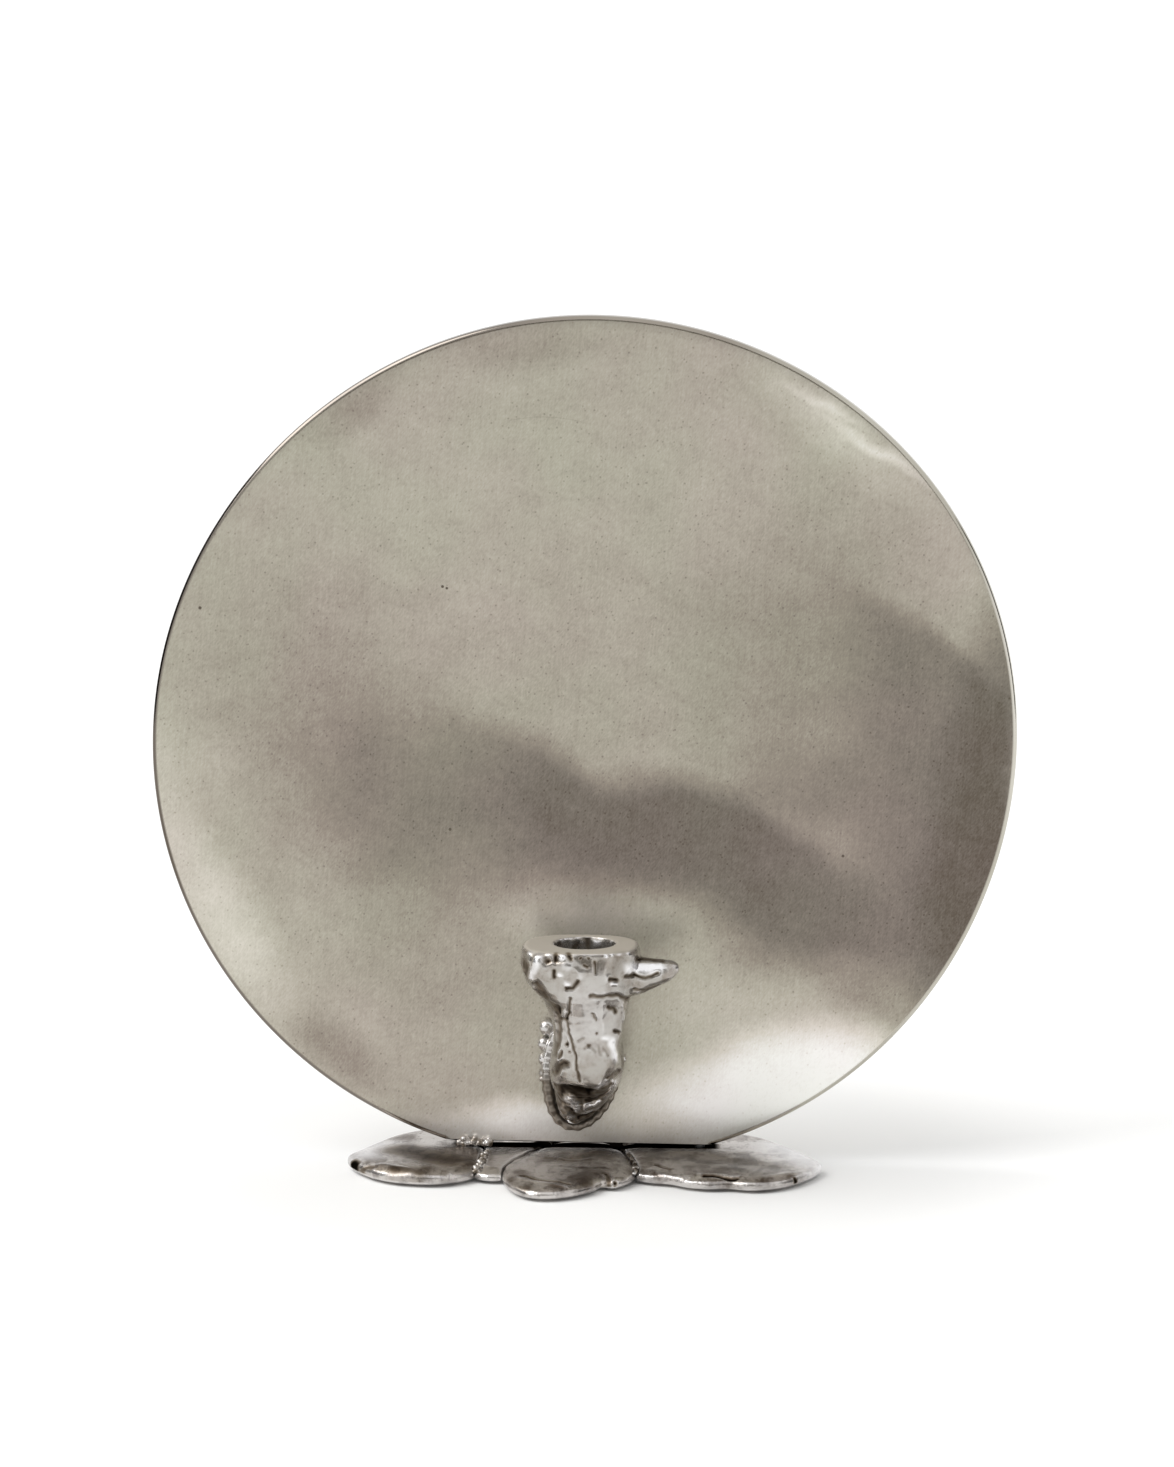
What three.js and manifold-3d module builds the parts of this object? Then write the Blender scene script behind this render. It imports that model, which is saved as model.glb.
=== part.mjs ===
// Candle holder. A round metal disc stands on edge on a base of poured puddles of metal, and a cast arm
// brazed to the front of the disc carries one taper candle in a drilled socket.
// Millimetres, +Z up. The origin is on the table under the middle, and the disc's front faces -Y.
import * as THREE from 'three';
import { mergeVertices } from 'three/addons/utils/BufferGeometryUtils.js';
import Module from 'manifold-3d';

const wasm = await Module();
wasm.setup();

// Fits
const brazeGap = 0.3; // between two pieces that are brazed together or rest on each other
const holeGap = 0.3; // round a screw

// Disc: a circle with a few slow swells, each turned in degrees from +X towards +Z
const discRadius = 159.8;
const discThickness = 7;
const discEdgeRound = 1.8;
const discSides = 96;
const footCut = 7.6; // height of the piece cut off along the bottom to make the flat foot
const discEdgeSteps = 2;
const discSwells = [
  { waves: 2, swell: 1.37, turn: 33.6 },
  { waves: 3, swell: 0.43, turn: 58.2 },
  { waves: 4, swell: 0.22, turn: 19.9 },
  { waves: 5, swell: 0.14, turn: 23 },
];

// Base: each pad is a puddle with a rounded lip. Its outline is drawn by hand, in shares of the half width
// and the half depth from its middle, counterclockwise from above.
const baseReach = 68.5; // from the disc's middle plane to the front end, and to the rear end
const frontPadTail = 14.1; // end of the front pad, behind the disc's middle plane
const rearPadStart = 5.5; // start of the rear pad, behind the disc's middle plane
const padFootRound = 0.8; // lower edge
const padLipWidth = 9; // upper edge, inwards
const padLipDrop = 2.4; // upper edge, downwards
const padFootSteps = 1;
const padLipSteps = 4;
const leftPad = {
  x: -61.9, y: -10.9, width: 51, depth: 75.8, thickness: 5, sides: 54,
  outline: [
    [0.76, -0.86], [0.94, -0.7], [1, -0.34], [0.99, 0.08], [0.94, 0.45], [0.76, 0.79], [0.43, 0.99],
    [0.1, 0.96], [-0.28, 0.76], [-0.59, 0.45], [-0.84, 0.09], [-0.99, -0.16], [-0.91, -0.4], [-0.73, -0.62],
    [-0.5, -0.81], [-0.2, -0.94], [0.25, -1], [0.53, -0.96],
  ],
};
const rightPad = {
  x: 51.2, y: -11.4, width: 77.2, depth: 80.8, thickness: 4.6, sides: 64,
  outline: [
    [-0.69, -0.73], [-0.45, -0.8], [-0.29, -0.91], [-0.07, -0.97], [0.13, -0.945], [0.32, -1], [0.55, -0.94],
    [0.74, -0.78], [0.91, -0.51], [1, -0.225], [0.94, -0.04], [0.77, 0.26], [0.58, 0.55], [0.4, 0.78],
    [0.14, 0.95], [-0.17, 1], [-0.53, 0.88], [-0.84, 0.63], [-1, 0.28], [-1, -0.09], [-0.9, -0.51],
  ],
};
const frontPad = {
  x: -3.6, y: (frontPadTail - baseReach) / 2, width: 49.6, depth: frontPadTail + baseReach,
  thickness: 4.4, sides: 60,
  outline: [
    [-0.23, -1], [0.1, -0.91], [0.39, -0.72], [0.54, -0.55], [0.71, -0.575], [0.89, -0.44], [1, -0.24],
    [0.96, 0.03], [0.87, 0.32], [0.73, 0.61], [0.49, 0.88], [0.09, 1], [-0.31, 0.84], [-0.6, 0.54],
    [-0.86, 0.17], [-0.99, -0.19], [-0.94, -0.5], [-0.74, -0.83], [-0.5, -0.98],
  ],
};
const leftBridge = {
  x: -26.4, y: -12, width: 28, depth: 60.4, thickness: 4.2, sides: 32,
  outline: [
    [-0.72, -0.95], [-0.45, -1], [-0.15, -0.98], [0.6, -0.85], [0.9, -0.1], [1, 0.7], [0.8, 0.98], [0, 1],
    [-0.7, 0.92], [-1, 0.55], [-1, -0.3], [-0.95, -0.8],
  ],
};
const rearPad = {
  x: -3, y: (rearPadStart + baseReach) / 2, width: 100, depth: baseReach - rearPadStart,
  thickness: 4.6, sides: 52,
  outline: [
    [0.1, -1], [0.6, -0.92], [0.95, -0.45], [1, 0.05], [0.78, 0.6], [0.4, 0.95], [0.02, 1], [-0.45, 0.8],
    [-0.86, 0.4], [-1, -0.15], [-0.9, -0.7], [-0.5, -0.98],
  ],
};

// Seam beads: each follows one pad's outline between two of its points, with lumps about a pitch apart
const seams = [
  { name: 'seam_bead_left', pad: leftPad, beside: leftBridge, from: 0.9, to: 2.85, radius: 1.3 },
  { name: 'seam_bead_right', pad: frontPad, beside: rightPad, from: 5.7, to: 8.5, radius: 0.8 },
  { name: 'seam_bead_rear_left', pad: leftPad, beside: rearPad, from: 4.05, to: 5.3, radius: 1.3 },
  { name: 'seam_bead_rear_right', pad: rightPad, beside: rearPad, from: 15.7, to: 17.5, radius: 1.3 },
];
const beadLumpPitch = 4.2;
const beadLumpShare = 0.16; // of the bead's radius
const beadLumpSteps = 4;
const beadSides = 6;
const beadEndShare = 0.2; // length of a bead's blunt end, in radii
const seamStops = 8;
const seamSink = 1.1; // middle of a seam bead under the lower pad's top

// Felt pads under the base, placed in shares of a pad's half width and half depth from its middle
const feltThickness = 1;
const feltRadius = 8;
const feltSides = 20;
const feltPlaces = [
  { name: 'felt_pad_left_front', pad: leftPad, across: 0, back: -0.58 },
  { name: 'felt_pad_left_rear', pad: leftPad, across: 0.15, back: 0.52 },
  { name: 'felt_pad_right_front', pad: rightPad, across: 0.28, back: -0.58 },
  { name: 'felt_pad_right_rear', pad: rightPad, across: 0.18, back: 0.58 },
  { name: 'felt_pad_front', pad: frontPad, across: -0.18, back: -0.55 },
  { name: 'felt_pad_rear', pad: rearPad, across: 0.06, back: 0.48 },
];

// Countersunk screws, from below through the left and right pads into the disc's foot
const screwSpread = 43.5; // from the middle to each screw
const screwRadius = 2;
const screwHeadRadius = 4;
const screwHeadHeight = 2.2;
const screwHeadLand = 0.37; // straight edge of the head
const screwHeadSink = 0.3; // head below the pad's underside
const screwBite = 10; // length in the disc
const screwPoint = 0.67; // bevel at the tip
const screwSlotWidth = 0.9;
const screwSlotDepth = 0.9;
const screwSides = 24;

// Candle arm: sections stand across a spine that leaves the disc and bends upwards. Each station gives the
// shares of the way out and up, the section's tilt in degrees, its reach to four sides of the spine, and how
// far its outer end leans to the left. A corner of 1 makes an ellipse, and less makes it squarer.
const armTop = 91.2; // flat top over the table
const armRoot = 35; // root's middle over the table
const armReach = 38.2; // from the root out to the spine's end
const armX = 1.2;
const armSides = 32;
const armRings = 30;
const socketRadius = 11.25;
const socketDepth = 20;
const socketX = 2.4;
const socketBack = 2; // from the spine's end back towards the disc
const socketSides = 32;
const rootBeadRadius = 1.8;
const rootBeadSwell = 0.3; // share by which it is fatter at the upper left and thinner opposite
const rootBeadSwellTurn = 160; // degrees from +X towards +Z
const rootBeadStops = 48;
const rootShape = { shift: -0.5, left: 11.2, right: 10, inner: 18, outer: 19, lean: 3.4, corner: 1 };
const rootBeadDepth = 2 * rootBeadRadius * (1 + rootBeadSwell + beadLumpShare);
const collarDepth = rootBeadDepth + brazeGap; // straight length that the braze bead lies round
// Sections of the head are given by the metal that they leave to each side of the socket
function headReach(left, right, inner, outer) {
  return {
    left: socketRadius + left,
    right: socketRadius + right,
    inner: socketRadius + inner,
    outer: socketRadius + outer,
  };
}
const armStations = [
  { out: 0, up: 0, tilt: 0, ...rootShape },
  { out: collarDepth / armReach, up: 0, tilt: 0, ...rootShape },
  {
    out: 0.28, up: 0.062, tilt: 22, shift: 0.4, left: 12.4, right: 12.4, inner: 15.5, outer: 15.4,
    lean: 2.2, corner: 0.86,
  },
  {
    out: 0.424, up: 0.169, tilt: 37, shift: 1.2, left: 13, right: 13.2, inner: 13.5, outer: 17.6,
    lean: 1.2, corner: 0.72,
  },
  {
    out: 0.581, up: 0.329, tilt: 50, shift: 1.5, left: 12.6, right: 12.9, inner: 12.5, outer: 22.6,
    lean: 0.4, corner: 0.66,
  },
  {
    out: 0.738, up: 0.489, tilt: 62, shift: 2, left: 12.6, right: 14.6, inner: 12, outer: 16.5,
    lean: 0, corner: 0.7,
  },
  {
    out: 0.869, up: 0.632, tilt: 73, shift: 2, left: 16, right: 16.6, inner: 13.5, outer: 15,
    lean: 0, corner: 0.8,
  },
  { out: 0.955, up: 0.756, tilt: 83, shift: 0.8, ...headReach(8.8, 8, 5.3, 7.5), lean: 0, corner: 0.82 },
  { out: 0.99, up: 0.863, tilt: 89, shift: 0, ...headReach(12, 10, 7, 8), lean: 0, corner: 0.8 },
  { out: 1, up: 0.961, tilt: 90, shift: 0, ...headReach(10.6, 10.2, 7.2, 7.7), lean: 0, corner: 0.76 },
  { out: 1, up: 1, tilt: 90, shift: 0, ...headReach(9, 9.2, 6, 6.4), lean: 0, corner: 0.76 },
];
const armLumps = [
  { depth: 0.55, around: 3, along: 0.9, turn: 0.4 },
  { depth: 0.4, around: 5, along: -1.7, turn: 1.9 },
  { depth: 0.3, around: 2, along: 3.1, turn: 4.2 },
];
const spurSides = 14;
const spurRings = 10;
const spurDepthShift = -0.5;
const spurStations = [
  { reach: 11.4, drop: 11.2, up: 6.5, down: 8.5, depth: 9 },
  { reach: 19.4, drop: 11.7, up: 7.2, down: 7.6, depth: 8 },
  { reach: 26.4, drop: 10.8, up: 5.5, down: 5.8, depth: 6.2 },
  { reach: 33.2, drop: 9.6, up: 3.6, down: 3.8, depth: 4.2 },
  { reach: 36, drop: 8.8, up: 1.3, down: 1.3, depth: 1.5 },
];

// Lumps of braze at the left end of the foot
const tackFrom = -46.5;
const tackTo = -34;
const tackRadius = 1.1;

// Levels and planes that several pieces share
const baseBottom = feltThickness;
const footHeight = baseBottom + leftPad.thickness + brazeGap;
const discCentre = footHeight + discRadius - footCut;
const discFront = -discThickness / 2;
const armStart = discFront - brazeGap;
const fullTurn = 2 * Math.PI;

const finishes = {
  satinNickel: { color: 0xb3afa5, metalness: 1, roughness: 0.38 },
  polishedNickel: { color: 0xc9c4b8, metalness: 1, roughness: 0.12 },
  braze: { color: 0xbdb6a8, metalness: 1, roughness: 0.22 },
  steel: { color: 0x8d8f92, metalness: 1, roughness: 0.3 },
  felt: { color: 0x2b2a28, metalness: 0, roughness: 0.95 },
};

// Joins rings of equal point counts into one closed shape, with a fan over each end unless it is a hoop
function loft(rings, hoop = false) {
  const sides = rings[0].length;
  const places = rings.flat();
  const faces = [];
  const joins = hoop ? rings.length : rings.length - 1;
  for (let ring = 0; ring < joins; ring += 1) {
    const near = ring * sides;
    const far = ((ring + 1) % rings.length) * sides;
    for (let side = 0; side < sides; side += 1) {
      const next = (side + 1) % sides;
      faces.push(near + side, near + next, far + next);
      faces.push(near + side, far + next, far + side);
    }
  }
  if (!hoop) {
    for (const end of [0, rings.length - 1]) {
      const middle = rings[end].reduce((sum, corner) => sum.add(corner), new THREE.Vector3());
      places.push(middle.divideScalar(sides));
      for (let side = 0; side < sides; side += 1) {
        const corners = [end * sides + side, end * sides + ((side + 1) % sides)];
        faces.push(places.length - 1, ...(end === 0 ? corners.reverse() : corners));
      }
    }
  }
  const geometry = new THREE.BufferGeometry().setFromPoints(places);
  geometry.setIndex(faces);
  return volumeOf(geometry) < 0 ? turnedInsideOut(geometry) : geometry;
}

function volumeOf(geometry) {
  const corners = geometry.getAttribute('position');
  const index = geometry.getIndex();
  const [a, b, c] = [new THREE.Vector3(), new THREE.Vector3(), new THREE.Vector3()];
  let volume = 0;
  for (let face = 0; face < index.count; face += 3) {
    a.fromBufferAttribute(corners, index.getX(face));
    b.fromBufferAttribute(corners, index.getX(face + 1));
    c.fromBufferAttribute(corners, index.getX(face + 2));
    volume += a.dot(b.cross(c)) / 6;
  }
  return volume;
}

function turnedInsideOut(geometry) {
  geometry.setIndex(Array.from(geometry.getIndex().array).reverse());
  return geometry;
}

// Moves a closed geometry into a solid that can be cut and joined, and back
function solid(geometry) {
  const bare = geometry.clone();
  bare.deleteAttribute('normal');
  bare.deleteAttribute('uv');
  const merged = mergeVertices(bare, 1e-5);
  return new wasm.Manifold(new wasm.Mesh({
    numProp: 3,
    vertProperties: new Float32Array(merged.getAttribute('position').array),
    triVerts: new Uint32Array(merged.getIndex().array),
  }));
}

function surface(body) {
  const mesh = body.getMesh();
  const geometry = new THREE.BufferGeometry();
  geometry.setAttribute('position', new THREE.BufferAttribute(mesh.vertProperties, 3));
  geometry.setIndex(Array.from(mesh.triVerts));
  return geometry;
}

// Blends a list of stations smoothly: at(1.5) lies halfway between the second and the third
function blend(stations) {
  const keys = Object.keys(stations[0]);
  const rows = stations.flatMap((station) => keys.map((key) => station[key]));
  const curve = new THREE.CubicInterpolant(stations.map((station, row) => row), rows, keys.length);
  return (along) => {
    const row = curve.evaluate(along);
    return Object.fromEntries(keys.map((key, column) => [key, row[column]]));
  };
}

// Disc
function discEdge(angle) {
  return discSwells.reduce((radius, { waves, swell, turn }) => (
    radius + swell * Math.cos(waves * (angle - THREE.MathUtils.degToRad(turn)))
  ), discRadius);
}

function discRing(inset, y) {
  return Array.from({ length: discSides }, (unused, side) => {
    const angle = (side / discSides) * fullTurn;
    const radius = discEdge(angle) - inset;
    return new THREE.Vector3(radius * Math.cos(angle), y, discCentre + radius * Math.sin(angle));
  });
}

function reflectorDisc() {
  const rings = [];
  for (const face of [-1, 1]) {
    const edge = Array.from({ length: discEdgeSteps + 1 }, (unused, step) => {
      const angle = (step / discEdgeSteps) * (Math.PI / 2);
      const inset = discEdgeRound * (1 - Math.sin(angle));
      const sink = discEdgeRound * (1 - Math.cos(angle));
      return discRing(inset, face * (discThickness / 2 - sink));
    });
    const inner = discRing(discRadius / 2, face * (discThickness / 2));
    rings.push(...(face < 0 ? [inner, ...edge] : [inner, ...edge].reverse()));
  }
  const { min, max } = new THREE.Box3().setFromPoints(rings.flat());
  const shift = -(min.x + max.x) / 2; // centres the uneven outline over the base
  const plate = loft(rings).translate(shift, 0, 0);
  const below = new THREE.BoxGeometry(2 * discRadius, 2 * discThickness, discRadius);
  below.translate(0, 0, footHeight - discRadius / 2);
  return solid(plate).subtract(solid(below));
}

// Base pads
function padOutline(pad) {
  const corners = pad.outline.map(([across, back]) => (
    new THREE.Vector3(pad.x + (across * pad.width) / 2, pad.y + (back * pad.depth) / 2, 0)
  ));
  return new THREE.CatmullRomCurve3(corners, true);
}

function padRing(pad, inset, height) {
  const outline = padOutline(pad);
  const middle = new THREE.Vector3(pad.x, pad.y, 0);
  return Array.from({ length: pad.sides }, (unused, side) => {
    const place = outline.getPoint(side / pad.sides);
    const inwards = middle.clone().sub(place).setLength(inset);
    return place.add(inwards).setZ(height);
  });
}

function puddle(pad) {
  const top = baseBottom + pad.thickness;
  const rings = [];
  for (let step = 0; step <= padFootSteps; step += 1) {
    const angle = (step / padFootSteps) * (Math.PI / 2);
    const inset = padFootRound * (1 - Math.sin(angle));
    rings.push(padRing(pad, inset, baseBottom + padFootRound * (1 - Math.cos(angle))));
  }
  for (let step = 0; step <= padLipSteps; step += 1) {
    const angle = (step / padLipSteps) * (Math.PI / 2);
    const inset = padLipWidth * (1 - Math.cos(angle));
    rings.push(padRing(pad, inset, top - padLipDrop * (1 - Math.sin(angle))));
  }
  return solid(loft(rings));
}

// The straight-walled space that a pad and its braze gap take from its neighbours
function padSpace(pad) {
  const head = baseBottom + 2 * pad.thickness;
  return solid(loft([padRing(pad, -brazeGap, 0), padRing(pad, -brazeGap, head)]));
}

// Beads: a lumpy tube along a flat path. Flat paths have one square direction all the way.
function bead(places, square, radius, { hoop = false, grow = 0, fatness = () => 1 } = {}) {
  const path = new THREE.CatmullRomCurve3(places, hoop);
  const length = path.getLength();
  const lumps = Math.max(2, Math.round(length / beadLumpPitch));
  const steps = beadLumpSteps * lumps;
  const rings = [];
  for (let step = 0; step < steps + (hoop ? 0 : 1); step += 1) {
    const share = step / steps;
    const along = path.getTangentAt(share);
    const outwards = along.clone().cross(square).normalize();
    const toEnd = hoop ? 1 : Math.min(1, beadEndShare + (length * Math.min(share, 1 - share)) / radius);
    const swell = fatness(share) - beadLumpShare * Math.cos(fullTurn * lumps * share);
    const reach = radius * swell * Math.sqrt(1 - (1 - toEnd) ** 2) + grow;
    const middle = path.getPointAt(share);
    if (!hoop && (step === 0 || step === steps)) middle.addScaledVector(along, step === 0 ? -grow : grow);
    rings.push(Array.from({ length: beadSides }, (unused, side) => {
      const angle = (side / beadSides) * fullTurn;
      return middle.clone()
        .addScaledVector(outwards, reach * Math.cos(angle))
        .addScaledVector(square, reach * Math.sin(angle));
    }));
  }
  return solid(loft(rings, hoop));
}

const beadFullShare = 1 + beadLumpShare;
const upwards = new THREE.Vector3(0, 0, 1);
const forwards = new THREE.Vector3(0, -1, 0);

function seamBead({ pad, beside, from, to, radius }, grow = 0) {
  const outline = padOutline(pad);
  const middle = new THREE.Vector3(pad.x, pad.y, 0);
  const height = baseBottom + Math.min(pad.thickness, beside.thickness) - seamSink;
  const places = Array.from({ length: seamStops + 1 }, (unused, stop) => {
    const place = outline.getPoint((from + ((to - from) * stop) / seamStops) / pad.outline.length);
    const outwards = place.clone().sub(middle).setLength(brazeGap / 2);
    return place.add(outwards).setZ(height);
  });
  return bead(places, upwards, radius, { grow });
}

// The arm's outline where it meets the disc, and the braze bead that lies round it against the disc
function sectionPoint(shape, angle) {
  const [cos, sin] = [Math.cos(angle), Math.sin(angle)];
  const across = (cos > 0 ? shape.right : shape.left) * Math.sign(cos) * Math.abs(cos) ** shape.corner;
  const up = (sin > 0 ? shape.inner : shape.outer) * Math.sign(sin) * Math.abs(sin) ** shape.corner;
  return new THREE.Vector2(shape.shift + across - shape.lean * Math.max(0, -sin) ** 2, up);
}

function rootBead() {
  const nudge = 0.01; // of a radian, to either side, for the outline's direction
  const fatness = (share) => (
    1 + rootBeadSwell * Math.cos(fullTurn * share - THREE.MathUtils.degToRad(rootBeadSwellTurn))
  );
  const places = Array.from({ length: rootBeadStops }, (unused, stop) => {
    const share = stop / rootBeadStops;
    const angle = share * fullTurn;
    const off = brazeGap + rootBeadRadius * (fatness(share) + beadLumpShare);
    const along = sectionPoint(rootShape, angle + nudge).sub(sectionPoint(rootShape, angle - nudge));
    const rim = sectionPoint(rootShape, angle).add(new THREE.Vector2(along.y, -along.x).setLength(off));
    return new THREE.Vector3(armX + rim.x, discFront - off, armRoot + rim.y);
  });
  return bead(places, forwards, rootBeadRadius, { hoop: true, fatness });
}

function footTack() {
  const off = brazeGap + tackRadius * beadFullShare;
  const height = baseBottom + leftPad.thickness + off;
  const ends = [tackFrom, (tackFrom + tackTo) / 2, tackTo];
  return bead(ends.map((x) => new THREE.Vector3(x, discFront - off, height)), upwards, tackRadius);
}

// Screws, turned from one profile, which also drills and sinks their holes
function screwTurning(grow = 0) {
  const bottom = baseBottom + screwHeadSink;
  const coneEnd = bottom + screwHeadHeight;
  const top = footHeight + screwBite + grow;
  const profile = [
    new THREE.Vector2(0, grow > 0 ? 0 : bottom),
    new THREE.Vector2(screwHeadRadius + grow, grow > 0 ? 0 : bottom),
    new THREE.Vector2(screwHeadRadius + grow, bottom + screwHeadLand + grow),
    new THREE.Vector2(screwRadius + grow, coneEnd + grow),
    new THREE.Vector2(screwRadius + grow, top - screwPoint),
    new THREE.Vector2(screwRadius + grow - screwPoint, top),
    new THREE.Vector2(0, top),
  ];
  return new THREE.LatheGeometry(profile, screwSides).rotateX(Math.PI / 2);
}

function screwAt(x, grow = 0) {
  return solid(screwTurning(grow).translate(x, 0, 0));
}

function footScrew(x) {
  const slot = new THREE.BoxGeometry(3 * screwHeadRadius, screwSlotWidth, 2 * screwSlotDepth);
  slot.translate(x, 0, baseBottom + screwHeadSink);
  return screwAt(x).subtract(solid(slot));
}

// Candle arm
const armAt = blend(armStations);

function armRing(along) {
  const station = armAt(along);
  const tilt = THREE.MathUtils.degToRad(station.tilt);
  const spine = new THREE.Vector3(
    armX,
    armStart - station.out * armReach,
    armRoot + station.up * (armTop - armRoot),
  );
  const across = new THREE.Vector3(1, 0, 0);
  const inwards = new THREE.Vector3(0, Math.sin(tilt), Math.cos(tilt));
  const last = armStations.length - 1;
  const fadeIn = THREE.MathUtils.smoothstep(along, 1, 2.5);
  const fadeOut = 1 - THREE.MathUtils.smoothstep(along, last - 1.5, last);
  return Array.from({ length: armSides }, (unused, side) => {
    const angle = (side / armSides) * fullTurn;
    const rim = sectionPoint(station, angle);
    const lump = fadeIn * fadeOut * armLumps.reduce((sum, { depth, around, along: rate, turn }) => (
      sum + depth * Math.sin(around * angle + rate * along + turn)
    ), 0);
    return spine.clone()
      .addScaledVector(across, rim.x + lump * Math.cos(angle))
      .addScaledVector(inwards, rim.y + lump * Math.sin(angle));
  });
}

function spur() {
  const spurAt = blend(spurStations);
  const rings = [];
  for (let ring = 0; ring <= spurRings; ring += 1) {
    const { reach, drop, up, down, depth } = spurAt((ring / spurRings) * (spurStations.length - 1));
    const middle = new THREE.Vector3(armX + reach, armStart - armReach - spurDepthShift, armTop - drop);
    rings.push(Array.from({ length: spurSides }, (unused, side) => {
      const angle = (side / spurSides) * fullTurn;
      const tall = Math.sin(angle) > 0 ? up : down;
      return middle.clone().add(new THREE.Vector3(0, depth * Math.cos(angle), tall * Math.sin(angle)));
    }));
  }
  return solid(loft(rings));
}

function candleArm() {
  const rings = [];
  for (let ring = 0; ring <= armRings; ring += 1) {
    rings.push(armRing((ring / armRings) * (armStations.length - 1)));
  }
  const drill = new THREE.CylinderGeometry(socketRadius, socketRadius, 2 * socketDepth, socketSides);
  drill.rotateX(Math.PI / 2).translate(socketX, armStart - armReach + socketBack, armTop);
  return solid(loft(rings)).add(spur()).subtract(solid(drill));
}

// Assembly
const holder = new THREE.Group();

function place(name, shape, finish) {
  const mesh = new THREE.Mesh(shape.isBufferGeometry ? shape : surface(shape));
  mesh.material = new THREE.MeshStandardMaterial(finishes[finish]);
  mesh.name = name;
  holder.add(mesh);
}

const screws = [
  { name: 'foot_screw_left', x: -screwSpread },
  { name: 'foot_screw_right', x: screwSpread },
];
const holes = screws.map(({ x }) => screwAt(x, holeGap));
const grooves = seams.map((seam) => seamBead(seam, brazeGap));

// Pads in the order in which they were laid: each later one stops at those before it
const pads = [
  { name: 'base_front_pad', pad: frontPad },
  { name: 'base_left_pad', pad: leftPad },
  { name: 'base_right_pad', pad: rightPad },
  { name: 'base_left_bridge', pad: leftBridge },
  { name: 'base_rear_pad', pad: rearPad },
];
const laid = [];
for (const { name, pad } of pads) {
  let body = puddle(pad);
  for (const cut of [...laid, ...grooves, ...holes]) {
    body = body.subtract(cut);
  }
  place(name, body, 'polishedNickel');
  laid.push(padSpace(pad));
}

let disc = reflectorDisc();
for (const hole of holes) {
  disc = disc.subtract(hole);
}
place('reflector_disc', disc, 'satinNickel');
place('candle_arm', candleArm(), 'polishedNickel');
place('arm_braze_bead', rootBead(), 'braze');
place('foot_tack', footTack(), 'braze');
for (const seam of seams) {
  place(seam.name, seamBead(seam), 'braze');
}
for (const { name, x } of screws) {
  place(name, footScrew(x), 'steel');
}
for (const { name, pad, across, back } of feltPlaces) {
  const felt = new THREE.CylinderGeometry(feltRadius, feltRadius, feltThickness, feltSides);
  const x = pad.x + (across * pad.width) / 2;
  const y = pad.y + (back * pad.depth) / 2;
  place(name, felt.rotateX(Math.PI / 2).translate(x, y, feltThickness / 2), 'felt');
}

export default holder;
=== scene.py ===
# Candle holder: a disc of satin nickel stands on edge behind a cast arm that holds one taper candle,
# on a base of poured puddles of nickel. Lengths in the dictionaries are millimetres.
import math

import bmesh
import bpy
import numpy as np
from mathutils import Matrix, Vector, noise


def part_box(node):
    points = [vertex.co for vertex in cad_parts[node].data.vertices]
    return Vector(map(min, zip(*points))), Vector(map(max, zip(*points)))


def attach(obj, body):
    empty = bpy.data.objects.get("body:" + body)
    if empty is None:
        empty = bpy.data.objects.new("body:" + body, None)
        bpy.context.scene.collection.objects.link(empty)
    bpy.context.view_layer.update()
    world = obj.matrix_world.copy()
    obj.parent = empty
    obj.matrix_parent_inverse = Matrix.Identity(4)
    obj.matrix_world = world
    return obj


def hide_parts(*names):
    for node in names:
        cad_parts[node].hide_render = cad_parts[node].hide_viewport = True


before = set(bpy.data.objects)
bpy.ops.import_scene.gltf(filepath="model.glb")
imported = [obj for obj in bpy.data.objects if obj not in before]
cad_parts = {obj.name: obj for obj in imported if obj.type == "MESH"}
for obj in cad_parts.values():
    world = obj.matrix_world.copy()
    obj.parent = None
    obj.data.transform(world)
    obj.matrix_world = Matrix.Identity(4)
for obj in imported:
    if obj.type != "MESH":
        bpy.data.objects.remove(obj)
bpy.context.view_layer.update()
bpy.context.scene.view_settings.view_transform = "Standard"
mm = 0.001
print("frame loaded:", len(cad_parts), "nodes")


# Helpers for nodes

def hexColour(code):
    # sRGB hex to linear, with alpha 1
    parts = [int(code[i:i + 2], 16) / 255 for i in (1, 3, 5)]
    linear = [p / 12.92 if p <= 0.04045 else ((p + 0.055) / 1.055) ** 2.4 for p in parts]
    return (*linear, 1.0)


def addNode(tree, kind, settings=None, inputs=None):
    # one node with its settings, and a link, a hex colour or a value for each input
    made = tree.nodes.new(kind)
    for name, value in (settings or {}).items():
        setattr(made, name, value)
    for name, value in (inputs or {}).items():
        if isinstance(value, bpy.types.NodeSocket):
            tree.links.new(value, made.inputs[name])
        else:
            made.inputs[name].default_value = hexColour(value) if isinstance(value, str) else value
    return made


def addMath(tree, operation, *values):
    return addNode(tree, "ShaderNodeMath", {"operation": operation}, dict(enumerate(values))).outputs[0]


def addVectorMath(tree, operation, *values):
    made = addNode(tree, "ShaderNodeVectorMath", {"operation": operation}, dict(enumerate(values)))
    return made.outputs["Value" if operation == "LENGTH" else "Vector"]


def addMapRange(tree, value, low, high, start=0.0, end=1.0, smooth=False):
    settings = {"interpolation_type": "SMOOTHSTEP" if smooth else "LINEAR"}
    return addNode(tree, "ShaderNodeMapRange", settings, {
        "Value": value, "From Min": low, "From Max": high, "To Min": start, "To Max": end}).outputs[0]


def mixValues(tree, share, low, high):
    return addNode(tree, "ShaderNodeMix", {"data_type": "FLOAT"}, {0: share, 2: low, 3: high}).outputs[0]


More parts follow.
